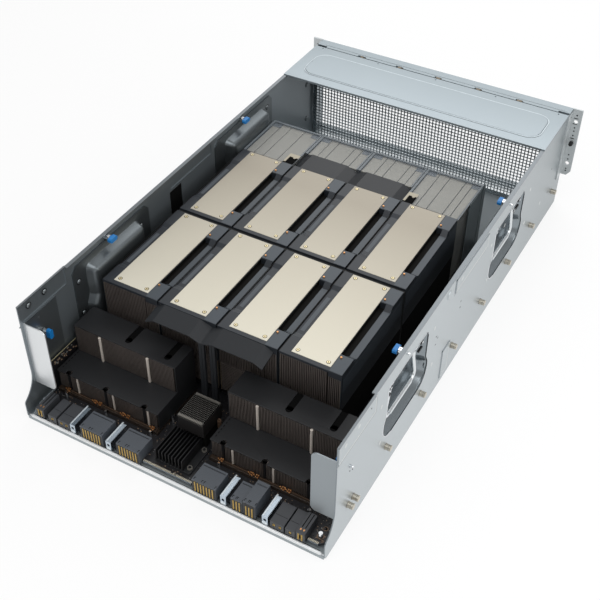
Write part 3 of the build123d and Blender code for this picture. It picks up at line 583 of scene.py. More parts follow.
gaps = (((0, 1.3), (31, 141), (135.95, 136.12)), ((68.1, 75.9), (32.1, 139.9), (128.2, 128.4)),
        ((-0.1, 0.9), (0.2, 171.8), (137.95, 138.1)))
addPiece("moduleGaps", boxesAt(cornerSpots, *gaps), "darkCore")
addPiece("moduleLedges", boxesAt(cornerSpots, ((76.4, 86.3), (33, 139), (131, 131.6))), "slateLedge", bevel=0.2)
caps = boxesAt(cornerSpots, *[((69, 86.2), span, (138.0, 138.25)) for span in ((0.6, 31.0), (141.0, 171.4))])
wedges = []
for x, y in cornerSpots:
    caps.append(prismPart([(y + 32, 131.6), (y + 40, 131.6), (y + 32, 137.8)], "x", x + 76.5, x + 86.3))
    for start, end in ((32, 40), (140, 132)):
        for low, (left, right) in ((136, (1, 13)), (131, (77, 86))):
            wedges.append(prismPart([(y + start, low), (y + end, low), (y + start, 138)], "x", x + left, x + right))
addPiece("moduleCaps", caps, "slateLedge")
leftEnds, rightEnds = (cornerSpots[0], cornerSpots[4]), (cornerSpots[3], cornerSpots[7])
addPiece("modulePanels", boxesAt(rightEnds, ((86.5, 86.7), (4, 168), (104, 127.5))), "slateLedge")
sidePlates = boxesAt(rightEnds, ((85.7, 86.4), (2, 170), (foot, 104)))
sidePlates += boxesAt(leftEnds, ((0.1, 0.8), (2, 170), (foot, 104)))
addPiece("moduleSidePlates", sidePlates, "darkCore")
addPiece("moduleWedges", wedges, "slatePanel")
print("modules ready")

# front air hood: two shallow bays that rise to the modules, on two posts
hood = {"y": (-278.0, -250.3), "rise": (132.0, 137.4), "left": -107.0, "right": 65.0, "valley": -23.75, "slope": 12.5,
        "dip": 17.0, "fold": 6.0, "sheet": 1.4, "foot": 10.5,
        "posts": (((-4, 4), (1, 5), 126.5), ((12, 20), (1, 5), 131), ((-0.6, 0.6), (0.4, 1), 126),
                  ((15, 16), (0.4, 1), 131))}
valley, dip, slope, drop = hood["valley"], hood["dip"], hood["slope"], -hood["fold"]
line = [(hood["left"], drop), (hood["left"] + slope, 0), (valley - dip, 0), (valley, drop), (valley + dip, 0),
        (hood["right"] - slope, 0), (hood["right"], drop)]
section = line + [(x, z - hood["sheet"]) for x, z in reversed(line)]
points, faces = skinPart([[(x, y, z + lift) for x, z in section] for y, lift in zip(hood["y"], hood["rise"])], ())
count = len(section)
endFaces = [(i, i + 1, count - 2 - i, count - 1 - i) for i in range(len(line) - 1)]
endFaces += [tuple(v + count for v in face) for face in endFaces]
posts = boxesAt([(valley, hood["y"][0])], *[(x, y, (hood["foot"], top)) for x, y, top in hood["posts"]])
addPiece("hoodRoof", [(points, faces + endFaces)] + posts, "hoodBlack", stands=("front_hood",))

# switch heatsinks: fine fins behind the stepped covers
switch = {"spans": ((-209.0, -49.0), (29.0, 189.0)), "front": -345.0, "step": -301.0, "back": -259.0, "floor": 15.5,
          "low": 44.4, "tall": 88.4, "pitch": 2.1, "fin": 0.8, "hooks": (0.11, 0.48, 0.86), "slots": (0.5, 0.88),
          "slot": 4.6}
front, step, back, floor = (switch[k] for k in ("front", "step", "back", "floor"))


def alongSwitches(*shares):
    # places at these shares of each switch heatsink's width
    return [x0 + share * (x1 - x0) for x0, x1 in switch["spans"] for share in shares]


starts = [x0 + 2 for x0, x1 in switch["spans"]]
lowFins = [(x, (front + 2 + step) / 2, (floor + switch["low"]) / 2) for x in starts]
tallFins = [(x, (step + back) / 2, (floor + switch["tall"]) / 2) for x in starts]
spans = [(x, 0) for x in starts]
cores = boxesAt(spans, ((0, 156), (front + 6, step), (floor, 44)), ((0, 156), (step + 3, back - 3), (floor, 88)))
posts = [roundPart((x, step - 1.3, 46.2), "z", 1.9, 42, 14) for x in alongSwitches(0.27, 0.74)]
posts += [roundPart((x, front + 1.2, 17.5), "z", 1.4, 26.5, 12) for x in alongSwitches(0.2, 0.56, 0.9)]
hooks = [roundPart((x, front + 2.5, 17.5), "z", 2.2, 26, 16) for x in alongSwitches(*switch["hooks"])]
fins = fitCount(155, switch["pitch"])
barRows("switchLowFins", lowFins, fins, (switch["pitch"], 0, 0), (switch["fin"], 42, 28.6), "brownFin")
barRows("switchTallFins", tallFins, fins, (switch["pitch"], 0, 0), (switch["fin"], 41.6, 72.8), "brownFin")
addPiece("switchCores", cores, "darkCore", stands=("left_switch_fins", "right_switch_fins"))
addPiece("switchPosts", posts, "postSteel", smooth=True)
addPiece("switchHooks", hooks, "sinkBlack", smooth=True)
addPiece("switchFeet", boxesAt(spans, ((0, 156), (front - 4.5, front + 1), (floor, 17.2))), "tanFoot", bevel=0.3)
slot, pits = switch["slot"], []
for x in alongSwitches(*switch["slots"]):
    pits.append(boxPart((x - slot, x + slot), (back - 30, back + 0.2), (88.6, 88.8)))
    pits.append(roundPart((x, back - 30, 88.6), "z", slot + 1.4, 0.2))
addPiece("switchSlotPits", pits, "holeAndShadeBlack")

# low cover: a row of small slots near its left end, and notches over the hooks
slots = boxesAt([(x + 1.5, front + 7 + i * 6) for x in starts for i in range(6)], ((0, 1.1), (0, 3.2), (46.0, 46.06)))
for x in alongSwitches(*switch["hooks"]):
    slots.append(roundPart((x, front + 3.4, 46.0), "z", 3.0, 0.08))
    slots.append(boxPart((x - 3.0, x + 3.0), (front, front + 3.4), (46.0, 46.08)))
addPiece("coverSlots", slots, "holeAndShadeBlack")

# copper clusters, a thin bus line and silver screws at the feet of the switch heatsinks
cluster = ((0, 0, 0), (3.2, -1.0, 0.8), (1.4, 0.8, 3.4), (4.4, 0.4, 4.2), (-2.0, 0.2, 2.2))
lumps = [((dx, dx + 2.0), (dy, dy + 1.6), (16.4 + dz, 18.6 + dz)) for dx, dy, dz in cluster]
clusterSpots = [(x, front - 3.4) for x in alongSwitches(0.09, 0.36, 0.41, 0.64, 0.69, 0.93)]
addPiece("copperClusters", boxesAt(clusterSpots, *lumps), "copper", bevel=0.3)
addPiece("copperLines", boxesAt(spans, ((12, 152), (front - 1.6, front - 1.0), (17.4, 18.0))), "ringTan")
footScrews = []
for x in alongSwitches(0.1, 0.5, 0.94):
    footScrews.append(roundPart((x, front - 6.4, 10.5), "z", 1.7, 4.6, 14))
    footScrews.append(roundPart((x, front - 6.4, 15.1), "z", 2.3, 1.3, 16, 0.75))
addPiece("footScrews", footScrews, "brightSteelAndHighlight", smooth=True)
print("switch heatsinks ready")

# exhaust ducts: taupe stacks with grooves, seen through smoky covers
ducts = {"spans": ((-201.0, -114.0), (-113.0, -24.0), (-23.0, 66.0), (67.0, 156.0)),
         "starts": (100.5, 148.5, 148.5, 100.5), "back": 216.5, "top": 126.6, "floor": 10.6, "roof": 129.05,
         "bend": 11, "rim": 0.3, "cap": (126.8, 127.2),
         "lines": ((-184.5, -168, -143.75), (-95, -82, -53.7, -41), (1, 15, 40, 52), (88, 104.5, 129.5, 141)),
         "side": (((0, 0.3), (149.5, 215), (12, 127)), ((0.3, 0.8), (149.5, 152.5), (12, 127)),
                  ((0.3, 0.8), (201, 204), (12, 127)), ((0.3, 0.8), (149.5, 204), (124, 127)))}
back, top, roof, bend, rim = (ducts[k] for k in ("back", "top", "roof", "bend", "rim"))
stacks, tabs, edges = [], [], []
for (x0, x1), start, lines in zip(ducts["spans"], ducts["starts"], ducts["lines"]):
    cuts = [x0 + 3, *lines, x1 - 3]
    for left, right in zip(cuts, cuts[1:]):
        stacks.append(boxPart((left + 0.6, right - 0.6), (start + 2.5, back - 13), (ducts["floor"], top)))
    stacks.append(boxPart((x0 + 4, x1 - 4), (start + 4, back - 15), (ducts["floor"], top - 3)))
    tabs += [boxPart(x, (back - 24, back - 12), ducts["cap"]) for x in ((x0 + 2, x0 + 17), (x1 - 15, x1 - 2))]
    for x, y0 in (((x0, x0 + 3.6), start), ((x1 - 2.2, x1), start), ((x0 + 3.6, x1 - 2.2), back - 15)):
        edges.append(boxPart(x, (y0, back - bend), (roof, roof + rim)))
    fold = [(back - bend, roof), (back, roof - bend), (back, roof - bend + 0.4), (back - bend, roof + rim)]
    edges.append(prismPart(fold, "x", x0, x1))
addPiece("stackPanels", stacks, "stackTaupe", bevel=0.3, stands=("exhaust_fin_stacks",))
addPiece("ductTabs", tabs, "ductEdge")
addPiece("ductEdges", edges, "ductEdge")
addPiece("ductSide", boxesAt([(ducts["spans"][-1][1], 0)], *ducts["side"]), "ductWall")
ductEnds = {"spans": ((-132.0, -114.5), (67.5, 83.0)), "y": (101.0, 128.0, 136.0), "z": 129.4, "frame": 3.5}
z, (y0, y1, y2) = ductEnds["z"], ductEnds["y"]
holes, frames = [], []
for low, high in ductEnds["spans"]:
    holes.append(boxPart((low, high), (y0, y1), (z, z + 0.15)))
    frames.append(boxPart((low, high), (y1, y2), (z, z + 0.25)))
    frames.append(boxPart((low, low + ductEnds["frame"]), (y0 + 12, y1), (z, z + 0.25)))
    frames.append(roundPart(((low + high) / 2 + 3, y1 - 1, z), "z", 2.2, 0.8, 12))
addPiece("ductEndHoles", holes, "holeAndShadeBlack")
addPiece("ductEndTabs", frames, "creamTab")
barRows("ductSerration", [(-206.2, 128.0, 129.0)], fitCount(72, 2.3), (0, 2.3, 0), (2.6, 1.2, 0.8), "zincSheet")
print("ducts ready")

# side walls: slopes round the pressed pads, with a strip of painted shade below and behind each pad and a strip of
# painted highlight along its lower and rear edges
wall = {"front": -400.0, "outer": 220.0, "raised": 221.2, "slope": 2.6, "inside": 218.5, "flange": 217.0,
        "film": 0.1, "window": ((218.2, 218.45), (-60.0, -32.0), (70.0, 147.0))}
pads = {
    "corner": {"y": (-377.0, -288.0), "z": (147.5, 175.5), "slopes": ("below", "behind")},
    "bead": {"y": (-58.0, 50.0), "z": (149.5, 169.5), "slopes": ("below", "above", "ahead", "behind")},
    "rib": {"y": (-77.0, -55.0), "z": (12.0, 60.0), "slopes": ("below", "above", "ahead", "behind")},
}
low, high, slope = wall["outer"], wall["raised"], wall["slope"]
flat, proud = (low, low + wall["film"]), (high, high + wall["film"])
slopes, pressShades, pressLights = [], [], []
for pad in pads.values():
    (y0, y1), (z0, z1) = pad["y"], pad["z"]
    runs = {"below": (z0 - slope, z0, "y", y0, y1), "above": (z1 + slope, z1, "y", y0, y1),
            "ahead": (y0 - slope, y0, "z", z0, z1), "behind": (y1 + slope, y1, "z", z0, z1)}
    for foot, edge, axis, start, end in (runs[run] for run in pad["slopes"]):
        slopes.append(prismPart([(low, foot), (high, edge), (low, edge)], axis, start, end))
    bottom, far = z0 - slope, y1 + slope
    pressShades.append(boxPart(flat, (y0 - slope, far), (bottom - 2.5, bottom)))
    pressShades.append(boxPart(flat, (far, far + 2.0), (bottom - 2.5, z1)))
    pressLights.append(boxPart(proud, (y0, y1), (z0, z0 + 2.2)))
    pressLights.append(boxPart(proud, (y1 - 1.8, y1), (z0 + 2.2, z1)))
addPiece("pressedSlopes", bothSides(slopes), "pressedZinc")
addPiece("pressShades", bothSides(pressShades), "shadeZinc")
addPiece("pressLights", bothSides(pressLights), "weldSpotAndHighlightZinc")

# marks on the walls, as distances from the front edge and heights
welds = ((130, 137), (281, 137), (135, 69), (286, 69), (471, 136), (626, 132), (475, 71), (626, 71), (700, 60))
padWelds = ((37.5, 165.5), (69, 165.5), (360, 160))
wallHoles, padHoles = ((61, 100), (54, 104), (560, 40), (735, 103), (736, 58)), ((99, 165),)
wallSlots = ((291, 114), (291, 100), (371, 112), (371, 101), (296, 108))
wallScrews = ((41.3, 165.7), (70.9, 165.5), (51.5, 137.9), (740.6, 54), (740.6, 120))
flangeScrews = ((131.1, 83), (131.1, 137), (267.5, 137), (267.5, 83), (608.7, 146.4), (569.2, 129.5), (531.3, 128.4))


def wallRounds(x, spots, radius, depth, sides, tip=1.0):
    return [roundPart((x, wall["front"] + y, z), "x", radius, depth, sides, tip) for y, z in spots]


spots = wallRounds(low, welds, 3.0, 0.15, 20) + wallRounds(high, padWelds, 3.0, 0.15, 20)
addPiece("weldSpots", bothSides(spots), "weldSpotAndHighlightZinc")
marks = wallRounds(low, wallHoles, 1.0, 0.12, 14) + wallRounds(high, padHoles, 1.0, 0.12, 14)
for y, z in wallSlots:
    y += wall["front"]
    marks.append(boxPart((low, low + 0.12), (y - 1.6, y + 1.6), (z - 0.5, z + 0.5)))
addPiece("wallMarks", bothSides(marks), "holeAndShadeBlack")
domes, domeShades = [], []
for x, screws in ((wall["inside"], wallScrews), (wall["flange"], flangeScrews)):
    domes += wallRounds(x, screws, 3.6, -0.9, 20, 0.86) + wallRounds(x - 0.9, screws, 3.1, -0.9, 20, 0.55)
    domeShades += [ringPart((x, wall["front"] + y, z), "x", 4.5, 3.6, -0.12, 20) for y, z in screws]
addPiece("wallScrews", bothSides(domes), "screwSteel", smooth=True)
addPiece("wallScrewShades", bothSides(domeShades), "holeAndShadeBlack")
addPiece("wallWindows", bothSides([boxPart(*wall["window"])]), "holeAndShadeBlack")

# shoulder studs: a dark ring round the base of each, painted shade, and a groove on each
studs = {"z": 43.0, "pair": (-346.0, -332.7), "start": -246.0, "pitch": 101.6, "count": 7, "radius": 4.0}
seats, heads = [], []
for y in (*studs["pair"], *[studs["start"] + i * studs["pitch"] for i in range(studs["count"])]):
    seats.append(ringPart((low, y, studs["z"]), "x", 4.5, 3.9, 0.4))
    seats.append(ringPart((low + 4.6, y, studs["z"]), "x", 4.04, 3.5, 0.5))
    heads.append(roundPart((low + 0.2, y, studs["z"]), "x", studs["radius"], 7.6, 28))
    heads.append(roundPart((low + 7.8, y, studs["z"]), "x", studs["radius"], 0.2, 28, 0.85))
addPiece("studHeads", bothSides(heads), "studSteel", smooth=True, stands=("slide_studs",))
addPiece("studSeats", bothSides(seats), "finSilver", smooth=True)

# handle recesses: a rim of painted shade, a rim of painted highlight and the small hardware at the hinge
handle = {"x": 211.0, "pivotZ": 136.0, "span": 34.0, "wide": 46.0, "gripZ": 80.0, "shoulder": 14.0, "bend": 9.0,
          "rod": 3.1, "sleeve": 3.9, "sleeveHalf": 31.0, "pin": 1.95, "hub": 4.3, "hubHalf": 3.7}
handleYs = {"front": -196.0, "rear": 140.0}
recess = {"wide": 63, "narrow": 56, "foot": 60, "head": 152, "step": (92, 106), "toe": 24.0, "brow": 8.0, "waist": 10.0}
# painted shade along the lower and rear edges of each recess, painted highlight along its top and front edges
rims = {
    "Shade": (((-40, 60), (63, 60), (63, 92), (56, 106), (56, 144)), (24, 10, 10), 0.42, "holeAndShadeBlack"),
    "Light": (((50, 152), (-56, 152), (-56, 106), (-63, 92), (-63, 60), (-40, 60)), (8, 10, 10, 24), 0.5,
              "brightSteelAndHighlight"),
}
for name, (route, bends, radius, look) in rims.items():
    routes = [roundedRoute([(y + a, b) for a, b in route], bends) for y in handleYs.values()]
    rods = [rodPart(low, route, radius, 8) for route in routes]
    addPiece("recessRim" + name, bothSides(rods), look, smooth=True)


def recessOutline(y, grow):
    # the finger pocket under the narrower hinge pocket, grown or shrunk all round
    wide, narrow, head, toe, brow = (recess[k] + grow for k in ("wide", "narrow", "head", "toe", "brow"))
    foot, (low, high), waist = recess["foot"] - grow, recess["step"], recess["waist"]
    corners = [(-wide, foot), (wide, foot), (wide, low), (narrow, high), (narrow, head), (-narrow, head),
               (-narrow, high), (-wide, low)]
    radii = [toe, toe, waist, waist, brow, brow, waist, waist]
    points = []
    for i, radius in enumerate(radii):
        points += roundedRoute([corners[i - 1], corners[i], corners[(i + 1) % 8]], [max(radius, 1.0)])[1:-1]
    return [(y + point.x, point.y) for point in points]


# the pocket is seen from outside the tray and the shell from inside it: (x, grow) down to the floor
pressing = {
    "Shell": [(216.9, 3.4), (216.3, 1.8), (214.4, 0.9), (208.5, -1.2), (205.0, -2.8), (203.3, -5.0), (202.4, -8.0),
              (202.0, -12.5)],
    "Pocket": [(218.9, 0.2), (218.2, -0.3), (216.6, -0.9), (209.5, -3.4), (207.0, -4.6), (205.2, -6.6),
               (204.2, -9.2), (203.7, -12.5)],
}
flange = {"half": 83.0, "low": 48.0, "high": 164.0, "cut": 8.0, "x": (218.4, 217.0), "grow": 1.5}
lug = ((203.7, 128.5), (212.5, 129.5), (215.8, 133), (215.8, 139), (212.5, 142.5), (203.7, 142.5))


def flangeOutline(y):
    # a point of the flange's edge for each point of the recess, with the cut corners met exactly
    half, tall, centre = flange["half"], (flange["high"] - flange["low"]) / 2, (flange["high"] + flange["low"]) / 2
    limit = half + tall - flange["cut"]
    edge = []
    for a, b in recessOutline(y, flange["grow"]):
        a, b = a - y, b - centre
        reach = min(half / max(abs(a), 0.001), tall / max(abs(b), 0.001))
        reach = min(reach, limit / (abs(a) + abs(b)))
        edge.append((a * reach, b * reach))
    for a, b in ((half, tall - flange["cut"]), (half - flange["cut"], tall)):
        for goal in ((-a, -b), (-a, b), (a, -b), (a, b)):
            edge[min(range(len(edge)), key=lambda i: math.dist(edge[i], goal))] = goal
    return [(y + a, centre + b) for a, b in edge]


def bailParts(y, sign):
    # a bent rod with a grip sleeve, hinge hubs and pins
    span, pivotZ, gripZ, shoulder, sleeve = (handle[k] for k in ("span", "pivotZ", "gripZ", "shoulder", "sleeveHalf"))
    bends = (shoulder, handle["bend"], handle["bend"], shoulder)
    halves = [(span, pivotZ), (span, pivotZ - shoulder), (handle["wide"], gripZ)]
    route = roundedRoute([(y - a, z) for a, z in halves] + [(y + a, z) for a, z in reversed(halves)], bends)
    x = sign * handle["x"]
    made = [rodPart(x, route, handle["rod"])]
    made.append(roundPart((x, y - sleeve, gripZ), "y", handle["sleeve"], 2 * sleeve, 24))
    for side in (-1, 1):
        hub = y + side * span
        made.append(roundPart((x, hub - handle["hubHalf"], pivotZ), "y", handle["hub"], 2 * handle["hubHalf"], 24))
        made.append(roundPart((x, hub, pivotZ), "y", handle["pin"], side * 8, 16))
        for groove in (0.62, 0.8, 0.95):
            made.append(ringPart((x, y + side * groove * sleeve, gripZ), "y", 4.15, 3.8, 0.9))
    return made


for side, sign in signs.items():
    for place, y in handleYs.items():
        title = side + place.title()
        for name, profile in pressing.items():
            loops = [[(sign * x, a, b) for a, b in recessOutline(y, grow)] for x, grow in profile]
            if name == "Shell":
                loops = [[(sign * x, a, b) for a, b in flangeOutline(y)] for x in flange["x"]] + loops
                look, stands = "pressedZinc" if side == "right" else "pressedShade", (f"{side}_{place}_recess",)
            else:
                look, stands = "pressedZinc", ()
            addPiece(title + name, [skinPart(loops)], look, smooth=True, stands=stands)
        outline = [(sign * x, z) for x, z in lug]
        lugs = [prismPart(outline, "y", *sorted((y + hinge * 38.05, y + hinge * 41.05))) for hinge in (-1, 1)]
        addPiece(title + "Lugs", lugs, "pressedZinc", bevel=0.4)
        node = f"{side}_{place}_handle"
        addPiece(title + "Bail", bailParts(y, sign), "chromeRod", body=node, smooth=True, stands=(node,))
blocks, screws, rollers = [], [], []
for y in handleYs.values():
    rollers.append(roundPart((210.5, y - 26, 137), "y", 4.4, 46, 24))
    rollers += [ringPart((210.5, y + end, 137), "y", 4.9, 4.2, 3) for end in (-27.5, 18)]
    for side in (-1, 1):
        hinge = y + side * 41.5
        blocks.append(boxPart((212.5, 217.8), sorted((hinge, hinge + side * 5)), (137, 143)))
        blocks.append(boxPart((213.5, 216.5), sorted((hinge - side * 2, hinge + side * 9)), (124, 127)))
        screws.append(roundPart((217.8, hinge + side * 2.5, 140), "x", 1.7, 0.7, 14))
        screws.append(roundPart((211, hinge, 136), "y", 3.0, side * 3.0, 16))
addPiece("recessRollers", bothSides(rollers), "rollerGrey", smooth=True)
addPiece("recessBlocks", bothSides(blocks), "blackCover", bevel=0.4)
addPiece("recessScrews", bothSides(screws), "brightSteelAndHighlight", smooth=True)
print("walls and handles ready")

# spring plungers: a silver pin, a blue grip and a round barrel
plunger = {"inner": 218.5, "barrel": 9.0, "reach": 5.4, "pin": 1.95, "gripGap": 0.25, "grip": 6.0, "cut": 1.6,
           "front": (-346.0, 113.0, 3.2, 7.0), "middle": (-206.0, 168.9, 7.0, 3.2), "rear": (128.0, 168.9, 7.0, 3.2)}
pinRadius, cut, barrels = plunger["pin"], plunger["cut"], []
outer = plunger["inner"] - plunger["barrel"] - plunger["gripGap"]
start = outer - plunger["grip"] / 2
length = plunger["inner"] + plunger["reach"] - start
for place in ("front", "middle", "rear"):
    y, z, wide, tall = plunger[place]
    barrels.append(ringPart((outer + 0.25, y, z), "x", 4.3, 2.06, 5.0, 28))
    barrels.append(ringPart((outer + 5.25, y, z), "x", 4.5, 2.06, 4.0, 6))
    outline = [(-wide, cut - tall), (cut - wide, -tall), (wide - cut, -tall), (wide, cut - tall), (wide, tall - cut),
               (wide - cut, tall), (cut - wide, tall), (-wide, tall - cut)]
    for side, sign in signs.items():
        pin = [roundPart((sign * start, y, z), "x", pinRadius, sign * (length - 1)),
               roundPart((sign * (start + length - 1), y, z), "x", pinRadius, sign * 1.0, 20, 0.6)]
        ends = sorted((sign * outer, sign * (outer - plunger["grip"])))
        grip = [prismPart([(y + a, z + b) for a, b in outline], "x", *ends)]
        node, title = f"{side}_{place}_plunger", side + place.title()
        addPiece(title + "Pin", pin, "brightSteelAndHighlight", body=node, smooth=True, stands=(node,))
        addPiece(title + "Grip", grip, "gripBlue", body=node, bevel=0.25)
addPiece("plungerBarrels", bothSides(barrels), "brightSteelAndHighlight", smooth=True, stands=("plunger_barrels",))
print("plungers ready")

# front connector row: fast blocks are (x, width, height, length) and power blocks are (x, width, ports)
connectors = {"front": -396.0, "seat": 10.5, "wafer": 4.2,
              "fast": ((-134.0, 34.5, 18.0, 33.0), (-77.5, 34.5, 18.0, 33.0), (35.0, 34.5, 18.0, 33.0),
                       (90.5, 16.0, 18.0, 33.0), (107.5, 17.0, 22.5, 40.0)),
              "power": ((-187.0, 13.0, (0.0,)), (-171.0, 18.5, (-4.1, 4.1)), (144.5, 18.5, (-4.1, 4.1)),
                        (165.0, 13.0, (0.0,))),
              "guide": (-151.0, -94.5, 75.5, 133.5), "signal": (-206.0, 179.0)}
front, seat, wafer = (connectors[k] for k in ("front", "seat", "wafer"))
signalSpots, guideSpots = ([(x, front) for x in connectors[k]] for k in ("signal", "guide"))
contacts, notches, fastFaces = [], [], []
for x, width, height, length in connectors["fast"]:
    top = seat + height
    slots = int((width - 2) / wafer)
    contacts += [(x + width / 2 + (i - (slots - 1) / 2) * wafer, front + 0.4, seat - 0.6) for i in range(slots)]
    notch = (((0, 0.7), (1.5, 5), (top - 0.2, top + 0.1)), ((0, 1.8), (4.3, 5), (top - 0.2, top + 0.1)))
    notches += boxesAt([(x + share * width, front) for share in (0.06, 0.37, 0.47, 0.92)], *notch)
    seam = ((1.5, width - 1.5), (0, 0.45), (top - 0.2, top + 0.06))
    notches += boxesAt([(x, front + share * length) for share in (0.74, 0.77)], seam)
    fastFaces.append(boxPart((x + 0.5, x + width - 0.5), (front - 0.12, front), (8.6, top - 2.4)))
barRows("fastContacts", contacts, 8, (0, 0, 2.15), (1.7, 1.9, 1.45), "gold")
addPiece("fastFaces", fastFaces, "blackCover")
notches += boxesAt(signalSpots, *[((a, a + 1.1), (9, 31), (seat + 12.3, seat + 12.58)) for a in (3.2, 7.6)])
addPiece("connectorNotches", notches, "holeAndShadeBlack")
windows = [((a, a + 1.9), (4.5, 7), (22.9, 23.1)) for a in (2.8, 7.2)]
addPiece("signalWindows", boxesAt(signalSpots, *windows), "copper")
signalContacts = [(x + a, y - 0.1, 11.0) for x, y in signalSpots for a in (3.6, 8.2)]
barRows("signalContacts", signalContacts, 6, (0, 0, 1.9), (2.2, 0.5, 1.1), "gold")
ports = [(x + width / 2 + a - 0.9, front + 1.0, 14.3) for x, width, offsets in connectors["power"] for a in offsets]
barRows("powerContacts", ports, 2, (1.8, 0, 0), (0.8, 1.6, 3.6), "gold")
lids = [boxPart((x + 1, x + width - 1), (front + 12, front + 12.4), (19.9, 20.08))
        for x, width, offsets in connectors["power"]]
addPiece("powerSeams", lids, "holeAndShadeBlack")
serrations = [(x + 7.6, y + 1.5, 22.4) for x, y in guideSpots]
barRows("guideSerrations", serrations, fitCount(31, 1.25), (0, 1.25, 0), (1.1, 0.6, 0.4), "holeAndShadeBlack")
feet = boxesAt(guideSpots, ((0.6, 7.4), (-0.5, 0), (8.2, 13.4)), ((0.3, 2.2), (1, 36), (22.4, 22.65)))
addPiece("guideFeet", feet, "paleSteel", bevel=0.2)
print("connectors ready")

# baseboard: edge fingers, screws, rings and scattered components
board = {"front": -391.0, "top": 10.5, "middle": 9.25, "fingerPitch": 1.75,
         "fingers": {"centreFingers": (-41.0, 71.0), "rightFingers": (193.0, 13.0), "leftFingers": (-213.0, 6.0)},
         "trace": ((-27, 16), (-386.4, -385.7), (10.5, 10.62)),
         "screws": ((203.6, -380.1), (-210.0, -374.5)),
         "posts": ((-45.8, -319.0, 2.0, 9.0, 3.0, 2.4), (175.6, -357.0, 2.0, 4.0, 2.8, 1.6)),
         "hole": (203.9, -368.0), "smallHole": (208.7, -385.4)}
front, top, pitch = board["front"], board["top"], board["fingerPitch"]
for name, (start, length) in board["fingers"].items():
    rows = (("", front - 0.12, board["middle"], (1.15, 0.24, 2.3), "paleStrip"),
            ("Top", front + 1.5, top + 0.06, (1.1, 2.8, 0.12), "fingerCream"))
    for ending, y, z, size, look in rows:
        barRows(name + ending, [(start, y, z)], fitCount(length, pitch), (pitch, 0, 0), size, look)
addPiece("innerTrace", [boxPart(*board["trace"])], "tanFoot")
pillars, rings = [], []
for x, y in board["screws"]:
    pillars.append(roundPart((x, y, top), "z", 2.3, 5.0, 16))
    pillars.append(roundPart((x, y, 15.0), "z", 3.3, 2.2, 20, 0.8))
    rings.append(ringPart((x, y, top), "z", 4.6, 3.4, 0.25))
rings.append(ringPart((*board["hole"], top), "z", 3.2, 2.4, 0.3))
rings.append(ringPart((*board["smallHole"], top), "z", 1.8, 1.1, 0.2, 18))
for x, y, radius, tall, headRadius, headTall in board["posts"]:
    pillars.append(roundPart((x, y, top), "z", radius, tall, 16))
    pillars.append(roundPart((x, y, top + tall), "z", headRadius, headTall, 20, 0.8))
addPiece("boardScrews", pillars, "brightSteelAndHighlight", smooth=True)
addPiece("boardRings", rings, "ringTan", smooth=True)
addPiece("boardHoles", [roundPart((*board["hole"], top), "z", 2.3, 0.5, 18)], "holeAndShadeBlack")
patches = ((-62, -32, -389, -300), (22, 31, -389, -262), (-30, 21, -390, -384), (194, 212, -389, -262),
           (-212, -60, -362, -351), (36, 192, -362, -351), (-48, 28, -297, -256), (-213, -207, -389, -262))
patchMesh = bpy.data.meshes.new("boardPatches")
patchPoints = [inMetres((x, y, top)) for x0, x1, y0, y1 in patches for x, y in ((x0, y0), (x1, y0), (x1, y1), (x0, y1))]
patchMesh.from_pydata(patchPoints, [], [tuple(range(4 * i, 4 * i + 4)) for i in range(len(patches))])
scatters = {
    "boardChips": (26000.0, 3, (1.0, 1.0, 0.6), (3.6, 2.6, 2.0), "chipBlack"),
    "boardTans": (16000.0, 11, (0.6, 0.5, 0.5), (1.6, 1.0, 1.1), "chipTan"),
    "boardSilvers": (12000.0, 23, (0.4, 0.4, 0.4), (1.2, 0.8, 0.8), "chipSilver"),
}
for name, (density, seed, smallest, largest, look) in scatters.items():
    values = {"Density": density, "Seed": seed, "Material": looks[look], "Smallest": inMetres(smallest),
              "Largest": inMetres(largest)}
    runTree(name, scatterTree, patchMesh.copy(), values)
lip = {"y": -397.6, "z": 5.1, "radius": 2.3, "half": 212.0, "skirt": ((-218.0, 218.0), (-399.9, -396.2), (1.6, 4.6)),
       "line": ((-211, 211), (-395.5, -395.1), (6.4, 6.8))}
half, radius = lip["half"], lip["radius"]
hem = [roundPart((-half, lip["y"], lip["z"]), "x", radius, 2 * half, 24)]
hem += [roundPart((end * half, lip["y"], lip["z"]), "x", radius, end * 3.0, 24, 0.6) for end in (-1, 1)]
addPiece("frontHem", hem + [boxPart(*lip["skirt"])], "hemSteel", smooth=True)
addPiece("frontHemLine", [boxPart(*lip["line"])], "holeAndShadeBlack")

# upright card beside the left switch, with a pale edge
card = {"board": ((-214.8, -213.2), (-347.0, -296.0), (10.6, 60.0)), "face": (-213.2, -212.2), "chips": 26, "tan": 16,
        "edge": ((-214.6, -213.4), (-346.5, -296.5), (60.0, 60.3))}
addPiece("sideCard", [boxPart(*card["board"])], "boardBlack")
addPiece("sideCardEdge", [boxPart(*card["edge"])], "brass")
cardParts = []
for i in range(card["chips"]):
    y, z = random.uniform(-345, -300), random.uniform(47, 58)
    cardParts.append(boxPart(card["face"], (y, y + random.uniform(1, 2.6)), (z, z + random.uniform(0.8, 1.8))))
addPiece("sideCardChips", cardParts[:card["tan"]], "chipTan")
addPiece("sideCardSilvers", cardParts[card["tan"]:], "chipSilver")
print("baseboard ready")

